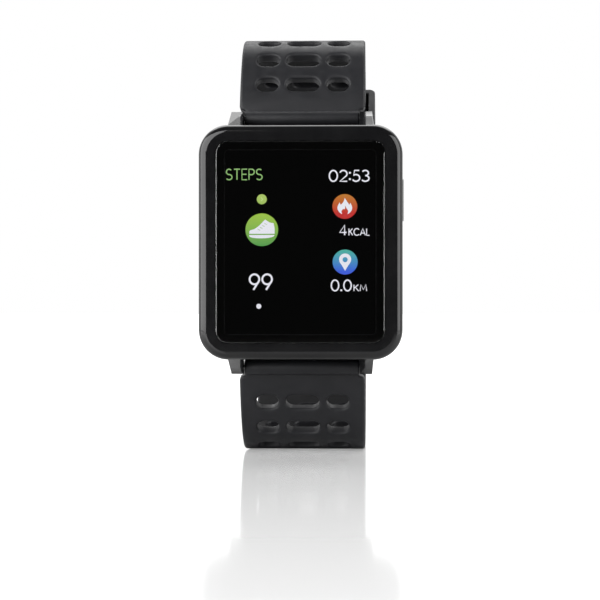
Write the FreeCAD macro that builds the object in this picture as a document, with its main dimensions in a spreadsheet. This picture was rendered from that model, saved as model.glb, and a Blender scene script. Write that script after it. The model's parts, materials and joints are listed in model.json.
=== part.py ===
import FreeCAD, Part
import math
import os

import Sketcher
from FreeCAD import Placement, Rotation, Vector

# Smartwatch with a rubber strap closed by a tang buckle.  Millimetres.
# Case coordinates: X to the right, Y back from the front face of the glass, Z up
# from the middle of the case.  Every piece then gets one Placement that moves it
# to the frame of the whole watch, whose origin is the middle of the flat stretch
# of strap that the watch stands on.

os.makedirs("parts", exist_ok=True)
doc = FreeCAD.newDocument("smartwatch")
sheet = doc.addObject("Spreadsheet::Sheet", "sheet")

SIZES = {
    # case
    "case_width": 38.4, "case_height": 44.2, "case_corner": 5.6, "case_front": 0.4,
    "case_back": 8.8, "front_round": 1.6, "back_round": 0.9, "wall": 2.0,
    "cavity_front": 2.9, "boss_radius": 1.5, "boss_inset": 3.8,
    # glass and display
    "glass_width": 31.7, "glass_height": 37.9, "glass_corner": 2.4, "glass_thick": 1.1,
    "glass_bevel": 0.2, "glass_gap": 0.1, "seal_thick": 0.2, "ledge": 1.5,
    "display_gap": 0.2, "display_thick": 1.2, "backplate_thick": 0.4,
    # inside
    "chassis_thick": 0.8, "chassis_gap": 0.3,
    "battery_width": 24.0, "battery_height": 19.0, "battery_thick": 4.0, "battery_mid": 8.0,
    "board_width": 26.0, "board_height": 15.5, "board_thick": 0.8, "board_mid": -9.5,
    "shield_width": 11.0, "shield_height": 10.0, "shield_thick": 1.5,
    "shield_wall": 0.2, "shield_x": -7.5, "chip_side": 7.0, "chip_thick": 0.9,
    "memory_width": 4.0, "memory_height": 6.0, "memory_x": 1.5,
    "motor_radius": 4.0, "motor_thick": 2.6, "motor_x": 9.5,
    "flex_width": 9.0, "flex_thick": 0.15, "flex_top": -8.0, "flex_turn": -15.5,
    # rear cover and sensor
    "cover_inset": 0.8, "cover_thick": 1.0, "bump_radius": 11.5, "bump_height": 1.4,
    "bump_wall": 0.8, "window_radius": 6.0, "sensor_radius": 9.2, "sensor_thick": 0.6, "sensor_gap": 0.05,
    "led_side": 1.6, "led_thick": 0.5, "led_offset": 3.2, "rear_seal_width": 0.6,
    "rear_seal_thick": 0.4, "rear_seal_inset": 1.2,
    "screw_radius": 0.6, "screw_head_radius": 1.2, "screw_head_thick": 0.6,
    "screw_length": 3.4, "contact_radius": 1.0, "contact_x": 3.0, "contact_mid": -16.2,
    # side button
    "button_mid": 8.0, "button_depth": 5.1, "button_length": 8.0, "button_wide": 2.2,
    "button_proud": 0.15, "button_travel": 0.4, "button_well": 1.0, "button_gap": 0.15,
    "stem_radius": 0.7, "stem_gap": 0.05, "stem_inner": 0.75, "ring_wire": 0.24,
    "clip_radius": 1.0, "clip_thick": 0.2, "clip_gap": 0.1,
    "switch_thick": 0.9, "switch_side": 2.0, "switch_board": 0.5, "switch_gap": 0.08,
    # lugs and spring bars
    "lug_gap": 22.0, "lug_thick": 2.7, "lug_taper": 0.45, "lug_reach": 24.95,
    "lug_end_round": 0.5,
    "bar_depth": 8.0, "bar_reach": 23.65, "tube_radius": 0.75, "tube_wall": 0.22,
    "tube_end_gap": 0.4, "tip_radius": 0.4, "tip_fit": 0.04, "tip_in_lug": 1.2,
    "tip_in_tube": 2.6, "spring_wire": 0.1,
    # strap
    "strap_width": 24.0, "strap_thick": 2.1, "strap_narrow": 0.016, "strap_edge": 0.7,
    "barrel_radius": 1.5, "barrel_gap": 0.1, "bar_fit": 0.05,
    "start_depth": 8.6, "start_reach": 25.35, "start_lean": 14.0, "neck_length": 1.6,
    "neck_overlap": 1.5,
    "front_bend": 28.0, "front_lean": 38.0, "top_bend": 11.0, "back_bend": 34.0,
    "rest_length": 17.0,
    "slot_tall": 2.8, "side_slot": 4.3, "middle_slot": 6.43, "slot_web": 1.4,
    "first_slot": 5.3, "slot_pitch": 5.6, "tang_slot": 14.0, "top_slots": 9.0,
    "tail_angle": 28.0, "tail_corner": 4.0,
    # closure
    "end_radius": 1.6, "end_gap": 0.4, "rise_bend": 4.5, "pin_radius": 0.75,
    "pin_fit": 0.05, "frame_gap": 0.75, "frame_thick": 1.4, "arm_radius": 1.5,
    "bar_drop": 9.5, "front_bar_radius": 0.9, "front_bar_gap": 0.45,
    "tang_width": 4.0, "tang_thick": 1.0, "tang_rest_gap": 0.1, "tang_lean": 29.0,
    "slot_lean": 22.0,
    "tang_leg": 4.7, "tang_over": 1.3, "notch_gap": 0.35,
    # keepers
    "keeper_wall": 1.3, "keeper_corner": 1.2, "keeper_lead": 16.0,
    "keeper_side_gap": 0.45, "keeper_layer_gap": 0.4,
    "free_keeper_angle": 46.0, "free_keeper_turn": 11.6,
    "fixed_keeper_angle": 60.0, "fixed_keeper_turn": 9.0,
}
for row, (word, value) in enumerate(SIZES.items(), start=1):
    sheet.set("A%d" % row, word)
    sheet.set("B%d" % row, str(value))
    sheet.setAlias("B%d" % row, word)

# Sizes that follow from the driving ones.
FOLLOWS = {
    "glass_seat": "=glass_thick + seal_thick",
    "seat_width": "=glass_width + 2 * glass_gap",
    "seat_height": "=glass_height + 2 * glass_gap",
    "opening_width": "=glass_width - 2 * ledge",
    "opening_height": "=glass_height - 2 * ledge",
    "opening_corner": "=max(glass_corner - ledge; 0.3)",
    "cavity_width": "=case_width - 2 * wall",
    "cavity_height": "=case_height - 2 * wall",
    "cavity_corner": "=case_corner - wall",
    "display_back": "=glass_thick + display_thick",
    "backplate_back": "=display_back + backplate_thick",
    "chassis_front": "=cavity_front",
    "chassis_back": "=chassis_front + chassis_thick",
    "board_front": "=chassis_back",
    "boss_x": "=case_width / 2 - boss_inset",
    "boss_z": "=case_height / 2 - boss_inset",
    "cover_back": "=case_back + cover_thick",
    "bump_back": "=cover_back + bump_height",
    "window_front": "=bump_back - bump_wall",
    "seal_outer_width": "=case_width - 2 * rear_seal_inset",
    "seal_outer_height": "=case_height - 2 * rear_seal_inset",
    "seal_outer_corner": "=case_corner - rear_seal_inset",
    "board_back": "=board_front + board_thick",
    "lug_outer": "=lug_gap / 2 + lug_thick",
    "barrel_width": "=lug_gap - 2 * barrel_gap",
    "tube_half": "=lug_gap / 2 - tube_end_gap",
}
for row, (word, formula) in enumerate(FOLLOWS.items(), start=len(SIZES) + 1):
    sheet.set("A%d" % row, word)
    sheet.set("B%d" % row, formula)
    sheet.setAlias("B%d" % row, word)
doc.recompute()


def size(word):
    return float(sheet.get(word))


# ---------------------------------------------------------------- strap path


class Path:
    """A run of straight lines and arcs in the Y-Z plane, along the middle of the strap.

    The heading is measured from straight up towards the back, and a right turn
    bends towards the wrist."""

    def __init__(self, y, z, heading):
        self.y, self.z, self.heading = y, z, math.radians(heading)
        self.pieces = []
        self.length = 0.0

    def ahead(self):
        return Vector(0, math.sin(self.heading), math.cos(self.heading))

    def inward(self):
        return Vector(0, math.cos(self.heading), -math.sin(self.heading))

    def line(self, length):
        start = (self.y, self.z, self.heading)
        self.pieces.append(("line", start, length, 0.0, self.length))
        step = self.ahead() * length
        self.y, self.z = self.y + step.y, self.z + step.z
        self.length += length
        return self

    def arc(self, radius, degrees):
        """A positive angle turns towards the wrist; the radius is that of the middle line."""
        start = (self.y, self.z, self.heading)
        turn = math.radians(degrees)
        self.pieces.append(("arc", start, radius, turn, self.length))
        side = math.copysign(1.0, turn)
        centre = Vector(0, self.y, self.z) + self.inward() * (radius * side)
        self.heading += turn
        here = centre - self.inward() * (radius * side)
        self.y, self.z = here.y, here.z
        self.length += radius * abs(turn)
        return self

    def at(self, distance):
        """Point and heading at this distance along the path."""
        for kind, (y, z, heading), reach, turn, before in self.pieces:
            span = reach if kind == "line" else reach * abs(turn)
            if distance <= before + span:
                break
        probe = Path(y, z, math.degrees(heading))
        if kind == "line":
            probe.line(distance - before)
        else:
            probe.arc(reach, math.degrees(turn) * (distance - before) / span)
        return Vector(0, probe.y, probe.z), probe.heading

    def edges(self, offset):
        """Edges of the path moved towards the wrist by offset, in order."""
        made = []
        for kind, (y, z, heading), reach, turn, before in self.pieces:
            probe = Path(y, z, math.degrees(heading))
            first = Vector(0, y, z) + probe.inward() * offset
            if kind == "line":
                probe.line(reach)
                last = Vector(0, probe.y, probe.z) + probe.inward() * offset
                made.append(Part.LineSegment(first, last).toShape())
                continue
            middle = Path(y, z, math.degrees(heading)).arc(reach, math.degrees(turn) / 2)
            halfway = Vector(0, middle.y, middle.z) + middle.inward() * offset
            probe.arc(reach, math.degrees(turn))
            last = Vector(0, probe.y, probe.z) + probe.inward() * offset
            made.append(Part.Arc(first, halfway, last).toShape())
        return made


def ribbon(path, inner, outer, width):
    """A strip along the path between two offsets, centred on X = 0."""
    low = path.edges(inner)
    high = path.edges(outer)
    first = Part.LineSegment(low[0].Vertexes[0].Point, high[0].Vertexes[0].Point).toShape()
    last = Part.LineSegment(low[-1].Vertexes[-1].Point, high[-1].Vertexes[-1].Point).toShape()
    ordered = Part.__sortEdges__(low + [last] + high + [first])
    face = Part.Face(Part.Wire(ordered))
    face.translate(Vector(-width / 2, 0, 0))
    return face.extrude(Vector(width, 0, 0))


def cross_rod(radius, width, y, z):
    """A cylinder along X, centred on X = 0."""
    return Part.makeCylinder(radius, width, Vector(-width / 2, y, z), Vector(1, 0, 0))


thick = size("strap_thick")
half_thick = thick / 2
front_turn = size("front_lean") - size("start_lean")
top_turn = 90 - size("front_lean")


def strap_start(before=0.0):
    """A path that starts this far before the full-width strap, just beyond the lugs."""
    lean = math.radians(size("start_lean"))
    y = size("start_depth") + math.cos(lean) * half_thick - math.sin(lean) * before
    z = size("start_reach") - math.sin(lean) * half_thick - math.cos(lean) * before
    return Path(y, z, size("start_lean"))


def front_path():
    """Middle line from the end of the lugs to the apex."""
    path = strap_start()
    path.arc(size("front_bend") - half_thick, front_turn)
    path.arc(size("top_bend") - half_thick, top_turn)
    return path


apex = front_path()
back_middle = apex.y + size("back_bend") - half_thick
back_centre_y = apex.y
back_centre_z = apex.z - (size("back_bend") - half_thick)
low_bend = size("back_bend") - size("rest_length")

# Pin and S-bend of the tail: the tail rises over the pin on a concentric arc.
wrap = size("end_radius") + size("end_gap") + half_thick
rise = math.acos(1 - wrap / (size("rise_bend") + wrap))
rise_height = (size("rise_bend") + wrap) * math.sin(rise)
tail_before_rise = apex.length + size("rest_length") + (low_bend - half_thick) * math.pi / 2
tail_to_slot = size("rise_bend") * rise + wrap * (rise - math.radians(size("slot_lean")))
slot_distance = size("first_slot") + size("tang_slot") * size("slot_pitch")
back_straight = slot_distance - tail_to_slot - tail_before_rise
pin_y = back_middle
pin_z = -(apex.z - (low_bend - half_thick)) + back_straight + rise_height
layer_gap = wrap - 2 * half_thick
case_mid = apex.z + half_thick
rest_mid = apex.y + size("rest_length") / 2
print("pin height %.3f, straight %.3f, layer gap %.3f" % (pin_z, back_straight, layer_gap))
print("case middle %.3f, rest middle %.3f" % (case_mid, rest_mid))

row = len(SIZES) + len(FOLLOWS) + 1
for word, value in (("case_mid", case_mid), ("rest_mid", rest_mid),
                    ("pin_y", pin_y), ("pin_z", pin_z)):
    sheet.set("A%d" % row, word)
    sheet.set("B%d" % row, repr(value))
    sheet.setAlias("B%d" % row, word)
    row += 1
doc.recompute()

# ---------------------------------------------------------------- drawing helpers

NODES = {}
TO_FRAME = Vector(0, -rest_mid, case_mid)


def keep(piece, label):
    """Make this object the sub-part of that name."""
    piece.Label = label
    NODES[label] = piece
    return piece


def new_body(label):
    body = doc.addObject("PartDesign::Body", label)
    body.setExpression("Placement.Base.y", "-sheet.rest_mid")
    body.setExpression("Placement.Base.z", "sheet.case_mid")
    return keep(body, label)


def sketch_on(body, role, name, offset=None):
    """A sketch on one of the body's own origin planes, moved along its normal."""
    plane = [item for item in body.Origin.OriginFeatures if item.Role == role][0]
    sketch = body.newObject("Sketcher::SketchObject", name)
    sketch.AttachmentSupport = (plane, "")
    sketch.MapMode = "FlatFace"
    if offset:
        sketch.setExpression("AttachmentOffset.Base.z", offset)
    return sketch


def front_sketch(body, name, depth):
    """A sketch facing the viewer at this depth behind the front of the glass."""
    return sketch_on(body, "XZ_Plane", name, "-(%s)" % depth)


def bind(sketch, index, name, formula):
    sketch.renameConstraint(index, name)
    sketch.setExpression("Constraints." + name, formula)


def rounded(sketch, width, height, corner, x="0", z="0"):
    """A rounded rectangle with bound width, height, corner radius and middle."""
    first = sketch.GeometryCount
    tag = "r%d_" % first
    a, b, r = 10.0, 12.0, 2.0
    up = Vector(0, 0, 1)
    sides = [((-a + r, b), (a - r, b)), ((a, b - r), (a, -b + r)),
             ((a - r, -b), (-a + r, -b)), ((-a, -b + r), (-a, b - r))]
    for start, end in sides:
        sketch.addGeometry(Part.LineSegment(Vector(*start, 0), Vector(*end, 0)))
    corners = [((a - r, b - r), 0.0), ((a - r, -b + r), 1.5), ((-a + r, -b + r), 1.0),
               ((-a + r, b - r), 0.5)]
    for centre, half_turns in corners:
        begin = half_turns * math.pi
        circle = Part.Circle(Vector(*centre, 0), up, r)
        sketch.addGeometry(Part.ArcOfCircle(circle, begin, begin + math.pi / 2))
    top, right, bottom, left, tr, br, bl, tl = range(first, first + 8)
    joins = [(top, 2, tr, 2), (right, 1, tr, 1), (right, 2, br, 2), (bottom, 1, br, 1),
             (bottom, 2, bl, 2), (left, 1, bl, 1), (left, 2, tl, 2), (top, 1, tl, 1)]
    for join in joins:
        sketch.addConstraint(Sketcher.Constraint("Tangent", *join))
    for flat in (top, bottom):
        sketch.addConstraint(Sketcher.Constraint("Horizontal", flat))
    for upright in (left, right):
        sketch.addConstraint(Sketcher.Constraint("Vertical", upright))
    for other in (br, bl, tl):
        sketch.addConstraint(Sketcher.Constraint("Equal", tr, other))
    radius = sketch.addConstraint(Sketcher.Constraint("Radius", tr, r))
    across = sketch.addConstraint(Sketcher.Constraint("DistanceX", left, 1, right, 1, 2 * a))
    tall = sketch.addConstraint(Sketcher.Constraint("DistanceY", bottom, 1, top, 1, 2 * b))
    bind(sketch, radius, tag + "corner", corner)
    bind(sketch, across, tag + "width", width)
    bind(sketch, tall, tag + "height", height)
    right_at = sketch.addConstraint(Sketcher.Constraint("DistanceX", -1, 1, right, 1, a))
    top_at = sketch.addConstraint(Sketcher.Constraint("DistanceY", -1, 1, top, 1, b))
    bind(sketch, right_at, tag + "right", "(%s) + (%s) / 2" % (x, width))
    bind(sketch, top_at, tag + "top", "(%s) + (%s) / 2" % (z, height))


def circle(sketch, radius, x="0", z="0"):
    """A circle with bound radius and centre."""
    index = sketch.addGeometry(Part.Circle(Vector(1, 1, 0), Vector(0, 0, 1), 1.0))
    tag = "c%d_" % index
    bind(sketch, sketch.addConstraint(Sketcher.Constraint("Radius", index, 1.0)),
         tag + "radius", radius)
    bind(sketch, sketch.addConstraint(Sketcher.Constraint("DistanceX", -1, 1, index, 3, 1.0)),
         tag + "x", x)
    bind(sketch, sketch.addConstraint(Sketcher.Constraint("DistanceY", -1, 1, index, 3, 1.0)),
         tag + "z", z)


def polygon(sketch, corners):
    """A closed outline whose corners are pairs of expressions."""
    first = sketch.GeometryCount
    count = len(corners)
    rough = [Vector(5 + 4 * math.cos(2 * math.pi * i / count),
                    5 + 4 * math.sin(2 * math.pi * i / count), 0) for i in range(count)]
    for i in range(count):
        sketch.addGeometry(Part.LineSegment(rough[i], rough[(i + 1) % count]))
    for i in range(count):
        here, after = first + i, first + (i + 1) % count
        sketch.addConstraint(Sketcher.Constraint("Coincident", here, 2, after, 1))
    for i, (x, z) in enumerate(corners):
        tag = "p%d_" % (first + i)
        for axis, formula in (("X", x), ("Y", z)):
            kind = "Distance" + axis
            made = sketch.addConstraint(Sketcher.Constraint(kind, -1, 1, first + i, 1, 1.0))
            bind(sketch, made, tag + axis.lower(), formula)


def pad(body, sketch, length, name, backward=True, both=False):
    made = body.newObject("PartDesign::Pad", name)
    made.Profile = sketch
    made.setExpression("Length", length)
    made.Reversed = backward
    if both:
        made.SideType = "Symmetric"
    doc.recompute()
    return made


def pocket(body, sketch, length, name, backward=True, both=False):
    before = body.Shape.Volume
    made = body.newObject("PartDesign::Pocket", name)
    made.Profile = sketch
    made.setExpression("Length", length)
    made.Reversed = not backward
    if both:
        made.SideType = "Symmetric"
    doc.recompute()
    if body.Shape.Volume > before - 1e-4:
        raise ValueError("%s cuts nothing" % name)
    return made


def plate(label, width, height, corner, front, thickness):
    """A rounded plate parallel to the glass."""
    body = new_body(label)
    outline = front_sketch(body, label + "_outline", front)
    rounded(outline, width, height, corner)
    pad(body, outline, thickness, label + "_pad")
    return body


def round_edges(body, test, radius, name, chamfer=False):
    """Round or chamfer the edges that pass the test."""
    base = body.Tip
    chosen = ["Edge%d" % (i + 1) for i, edge in enumerate(base.Shape.Edges) if test(edge)]
    kind = "PartDesign::Chamfer" if chamfer else "PartDesign::Fillet"
    made = body.newObject(kind, name)
    made.Base = (base, chosen)
    made.setExpression("Size" if chamfer else "Radius", radius)
    doc.recompute()
    return made


def at_depth(depth):
    return lambda edge: abs(edge.BoundBox.YMin - depth) < 1e-4 and edge.BoundBox.YLength < 1e-4


def place(piece, x, y, z):
    piece.setExpression("Placement.Base.x", x)
    piece.setExpression("Placement.Base.y", "%s - sheet.rest_mid" % y)
    piece.setExpression("Placement.Base.z", "%s + sheet.case_mid" % z)
    return piece


def block(name, width, thickness, height, x, front, z):
    """A box centred on x and z, with its front face at this depth."""
    box = doc.addObject("Part::Box", name)
    box.setExpression("Length", width)
    box.setExpression("Width", thickness)
    box.setExpression("Height", height)
    return place(box, "%s - (%s) / 2" % (x, width), "(%s)" % front,
                 "%s - (%s) / 2" % (z, height))


def rod(name, radius, length, x, y, z, along="y"):
    """A cylinder that starts at this point and runs along +X or +Y."""
    made = doc.addObject("Part::Cylinder", name)
    made.setExpression("Radius", radius)
    made.setExpression("Height", length)
    turn = Rotation(Vector(1, 0, 0), -90) if along == "y" else Rotation(Vector(0, 1, 0), 90)
    made.Placement = Placement(Vector(0, 0, 0), turn)
    return place(made, x, y, z)


def group(label, pieces):
    made = doc.addObject("Part::Compound", label)
    made.Links = pieces
    return keep(made, label)


def cut(name, base, tool):
    made = doc.addObject("Part::Cut", name)
    made.Base = base
    made.Tool = tool
    return made


def fuse(name, pieces):
    made = doc.addObject("Part::MultiFuse", name)
    made.Shapes = pieces
    return made


def shaped(label, shape):
    """A piece whose outline is worked out above, in case coordinates."""
    made = doc.addObject("Part::Feature", label)
    made.Shape = shape
    made.Placement = Placement(TO_FRAME, Rotation()).multiply(shape.Placement)
    return keep(made, label)


# ---------------------------------------------------------------- case


def case_frame():
    """Glossy case with the glass seat in front, four lugs and the side-button well."""
    body = new_body("case_frame")
    outline = front_sketch(body, "case_outline", "sheet.case_front")
    rounded(outline, "sheet.case_width", "sheet.case_height", "sheet.case_corner")
    pad(body, outline, "sheet.case_back - sheet.case_front", "case_pad")
    round_edges(body, at_depth(size("case_front")), "sheet.front_round", "case_front_round")
    round_edges(body, at_depth(size("case_back")), "sheet.back_round", "case_back_round")

    lugs = sketch_on(body, "YZ_Plane", "lug_side")
    for sign in ("", "-"):
        root = "%s(sheet.case_height / 2 - 0.5)" % sign
        tip = "%ssheet.lug_reach" % sign
        waist = "%s(sheet.bar_reach - 1)" % sign
        corners = [("sheet.bar_depth - 6.8", root), ("sheet.bar_depth - 1", tip),
                   ("sheet.bar_depth + 0.9", tip), ("sheet.bar_depth + 1.5", waist),
                   ("sheet.bar_depth + 0.5", root)]
        polygon(lugs, corners)
    pad(body, lugs, "2 * sheet.lug_outer", "lug_pad", backward=False, both=True)

    gaps = front_sketch(body, "lug_gaps", "0")
    for sign in ("", "-"):
        face = "%ssheet.case_height / 2" % sign
        beyond = "%s(sheet.lug_reach + 1)" % sign
        polygon(gaps, [("-sheet.lug_gap / 2", face), ("sheet.lug_gap / 2", face),
                       ("sheet.lug_gap / 2", beyond), ("-sheet.lug_gap / 2", beyond)])
        for side in ("", "-"):
            outer = "%ssheet.lug_outer" % side
            slim = "%s(sheet.lug_outer - sheet.lug_taper)" % side
            polygon(gaps, [(outer, face), ("%s(sheet.lug_outer + 1)" % side, face),
                           ("%s(sheet.lug_outer + 1)" % side, beyond), (slim, beyond)])
    pocket(body, gaps, "sheet.bar_depth + 4", "lug_gap_cut")

    ends = (lambda edge: abs(abs(edge.BoundBox.ZMin) - size("lug_reach")) < 1e-3
            and edge.BoundBox.ZLength < 1e-3 and edge.BoundBox.XLength > 1)
    round_edges(body, ends, "sheet.lug_end_round", "lug_end_round")

    bars = sketch_on(body, "YZ_Plane", "bar_holes")
    for sign in ("", "-"):
        circle(bars, "sheet.tip_radius + sheet.tip_fit", "sheet.bar_depth",
               "%ssheet.bar_reach" % sign)
    pocket(body, bars, "sheet.lug_gap + 2 * (sheet.tip_in_lug + 0.2)", "bar_hole_cut",
           both=True)

    seat = front_sketch(body, "glass_seat_outline", "0")
    rounded(seat, "sheet.seat_width", "sheet.seat_height", "sheet.glass_corner + sheet.glass_gap")
    pocket(body, seat, "sheet.glass_seat", "glass_seat_cut")
    opening = front_sketch(body, "opening_outline", "0")
    rounded(opening, "sheet.opening_width", "sheet.opening_height", "sheet.opening_corner")
    pocket(body, opening, "sheet.cavity_front + 0.5", "opening_cut")
    cavity = front_sketch(body, "cavity_outline", "sheet.cavity_front")
    rounded(cavity, "sheet.cavity_width", "sheet.cavity_height", "sheet.cavity_corner")
    pocket(body, cavity, "sheet.case_back - sheet.cavity_front", "cavity_cut")

    bosses = front_sketch(body, "boss_outline", "sheet.cavity_front - 0.3")
    holes = front_sketch(body, "boss_hole_outline", "sheet.cavity_front + 1.5")
    for x in ("", "-"):
        for z in ("", "-"):
            spot = ("%ssheet.boss_x" % x, "%ssheet.boss_z" % z)
            circle(bosses, "sheet.boss_radius", *spot)
            circle(holes, "sheet.screw_radius", *spot)
    pad(body, bosses, "sheet.case_back - sheet.cavity_front + 0.3", "boss_pad")
    pocket(body, holes, "sheet.case_back", "boss_hole_cut")

    well = sketch_on(body, "YZ_Plane", "button_well_outline",
                     "sheet.case_width / 2 - sheet.button_well")
    rounded(well, "sheet.button_wide + 2 * sheet.button_gap",
            "sheet.button_length + 2 * sheet.button_gap",
            "sheet.button_wide / 2 + sheet.button_gap - 0.01",
            "sheet.button_depth", "sheet.button_mid")
    pocket(body, well, "sheet.button_well + 1", "button_well_cut", backward=False)
    stem = sketch_on(body, "YZ_Plane", "stem_hole_outline", "sheet.case_width / 2 - 4")
    circle(stem, "sheet.stem_radius + sheet.stem_gap", "sheet.button_depth", "sheet.button_mid")
    pocket(body, stem, "4", "stem_hole_cut", backward=False)
    ring = sketch_on(body, "YZ_Plane", "ring_seat_outline",
                     "sheet.case_width / 2 - sheet.button_well - 2 * sheet.ring_wire")
    circle(ring, "sheet.stem_radius + 0.02 + 2 * sheet.ring_wire", "sheet.button_depth",
           "sheet.button_mid")
    pocket(body, ring, "2 * sheet.ring_wire + 0.1", "ring_seat_cut", backward=False)
    return body


def cover_glass():
    body = plate("cover_glass", "sheet.glass_width", "sheet.glass_height",
                 "sheet.glass_corner", "0", "sheet.glass_thick")
    round_edges(body, at_depth(0.0), "sheet.glass_bevel", "glass_bevel", chamfer=True)
    return body


def glass_seal():
    body = plate("glass_seal", "sheet.glass_width", "sheet.glass_height",
                 "sheet.glass_corner", "sheet.glass_thick", "sheet.seal_thick")
    hole = front_sketch(body, "glass_seal_hole", "sheet.glass_thick")
    rounded(hole, "sheet.opening_width", "sheet.opening_height", "sheet.opening_corner")
    pocket(body, hole, "sheet.seal_thick", "glass_seal_cut")
    return body


def display_stack():
    width = "sheet.opening_width - 2 * sheet.display_gap"
    height = "sheet.opening_height - 2 * sheet.display_gap"
    plate("display_panel", width, height, "sheet.opening_corner", "sheet.glass_thick",
          "sheet.display_thick")
    plate("display_backplate", width, height, "sheet.opening_corner", "sheet.display_back",
          "sheet.backplate_thick")


def display_flex():
    """Ribbon from the back of the display through the chassis to the main board."""
    body = new_body("display_flex")
    side = sketch_on(body, "YZ_Plane", "flex_side")
    near, far = "sheet.backplate_back", "sheet.board_front"
    polygon(side, [(near, "sheet.flex_top"), (near + " + sheet.flex_thick", "sheet.flex_top"),
                   (near + " + sheet.flex_thick", "sheet.flex_turn"), (far, "sheet.flex_turn"),
                   (far, "sheet.flex_turn - sheet.flex_thick"),
                   (near, "sheet.flex_turn - sheet.flex_thick")])
    pad(body, side, "sheet.flex_width", "flex_pad", backward=False, both=True)
    return body


def chassis():
    """Plastic plate that carries the battery and the main board."""
    body = plate("chassis", "sheet.cavity_width - 2 * sheet.chassis_gap",
                 "sheet.cavity_height - 2 * sheet.chassis_gap",
                 "sheet.cavity_corner - sheet.chassis_gap", "sheet.chassis_front",
                 "sheet.chassis_thick")
    holes = front_sketch(body, "chassis_holes", "sheet.chassis_front")
    rounded(holes, "sheet.flex_width + 1", "1.2", "0.3", "0", "sheet.flex_turn")
    pocket(body, holes, "sheet.chassis_thick", "chassis_flex_cut")
    notches = front_sketch(body, "chassis_notches", "sheet.chassis_front")
    for x in ("", "-"):
        for z in ("", "-"):
            reach_x = "%ssheet.cavity_width / 2 + %s1" % (x, x or "")
            reach_z = "%ssheet.cavity_height / 2 + %s1" % (z, z or "")
            near_x = "%s(sheet.boss_x - sheet.boss_radius - 0.3)" % x
            near_z = "%s(sheet.boss_z - sheet.boss_radius - 0.3)" % z
            polygon(notches, [(near_x, near_z), (reach_x, near_z), (reach_x, reach_z),
                              (near_x, reach_z)])
    pocket(body, notches, "sheet.chassis_thick", "chassis_notch_cut")
    return body


def electronics():
    keep(block("battery", "sheet.battery_width", "sheet.battery_thick", "sheet.battery_height",
               "0", "sheet.chassis_back", "sheet.battery_mid"), "battery")
    keep(block("main_board", "sheet.board_width", "sheet.board_thick", "sheet.board_height",
               "0", "sheet.board_front", "sheet.board_mid"), "main_board")
    can = block("shield_outside", "sheet.shield_width", "sheet.shield_thick",
                "sheet.shield_height", "sheet.shield_x", "sheet.board_back", "sheet.board_mid")
    room = block("shield_inside", "sheet.shield_width - 2 * sheet.shield_wall",
                 "sheet.shield_thick - sheet.shield_wall",
                 "sheet.shield_height - 2 * sheet.shield_wall", "sheet.shield_x",
                 "sheet.board_back", "sheet.board_mid")
    keep(cut("shield_can", can, room), "shield_can")
    keep(block("processor", "sheet.chip_side", "sheet.chip_thick", "sheet.chip_side",
               "sheet.shield_x", "sheet.board_back", "sheet.board_mid"), "processor")
    keep(block("memory_chip", "sheet.memory_width", "sheet.chip_thick", "sheet.memory_height",
               "sheet.memory_x", "sheet.board_back", "sheet.board_mid"), "memory_chip")
    keep(rod("vibration_motor", "sheet.motor_radius", "sheet.motor_thick", "sheet.motor_x",
             "sheet.board_back", "sheet.board_mid"), "vibration_motor")


def rear_cover():
    """Back plate with the raised sensor dome, its window and the charging pads."""
    body = plate("rear_cover", "sheet.case_width - 2 * sheet.cover_inset",
                 "sheet.case_height - 2 * sheet.cover_inset",
                 "sheet.case_corner - sheet.cover_inset", "sheet.case_back",
                 "sheet.cover_thick")
    dome = front_sketch(body, "dome_outline", "sheet.cover_back")
    circle(dome, "sheet.bump_radius")
    pad(body, dome, "sheet.bump_height", "dome_pad")
    round_edges(body, at_depth(size("bump_back")), "0.8 * sheet.bump_height", "dome_round")
    room = front_sketch(body, "dome_room", "sheet.case_back")
    circle(room, "sheet.sensor_radius + sheet.sensor_gap")
    pocket(body, room, "sheet.window_front - sheet.case_back", "dome_room_cut")
    window = front_sketch(body, "window_hole", "sheet.case_back")
    circle(window, "sheet.window_radius")
    pocket(body, window, "sheet.bump_back", "window_cut")
    pads = front_sketch(body, "contact_holes", "sheet.case_back")
    for x in ("", "-"):
        circle(pads, "sheet.contact_radius", "%ssheet.contact_x" % x, "sheet.contact_mid")
    pocket(body, pads, "sheet.cover_thick", "contact_cut")
    shanks = front_sketch(body, "screw_holes", "sheet.case_back")
    heads = front_sketch(body, "head_holes", "sheet.cover_back - sheet.screw_head_thick")
    for x in ("", "-"):
        for z in ("", "-"):
            spot = ("%ssheet.boss_x" % x, "%ssheet.boss_z" % z)
            circle(shanks, "sheet.screw_radius", *spot)
            circle(heads, "sheet.screw_head_radius", *spot)
    pocket(body, shanks, "sheet.cover_thick", "screw_hole_cut")
    pocket(body, heads, "sheet.screw_head_thick", "head_hole_cut")
    groove = front_sketch(body, "groove_outline", "sheet.case_back")
    seal_ring(groove)
    pocket(body, groove, "sheet.rear_seal_thick", "groove_cut")
    return body


def seal_ring(sketch):
    """Outer and inner outline of the seal between the case and the rear cover."""
    rounded(sketch, "sheet.seal_outer_width", "sheet.seal_outer_height",
            "sheet.seal_outer_corner")
    rounded(sketch, "sheet.seal_outer_width - 2 * sheet.rear_seal_width",
            "sheet.seal_outer_height - 2 * sheet.rear_seal_width",
            "sheet.seal_outer_corner - sheet.rear_seal_width")


def rear_seal():
    body = new_body("rear_seal")
    ring = front_sketch(body, "rear_seal_outline", "sheet.case_back")
    seal_ring(ring)
    pad(body, ring, "sheet.rear_seal_thick", "rear_seal_pad")
    return body


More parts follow.
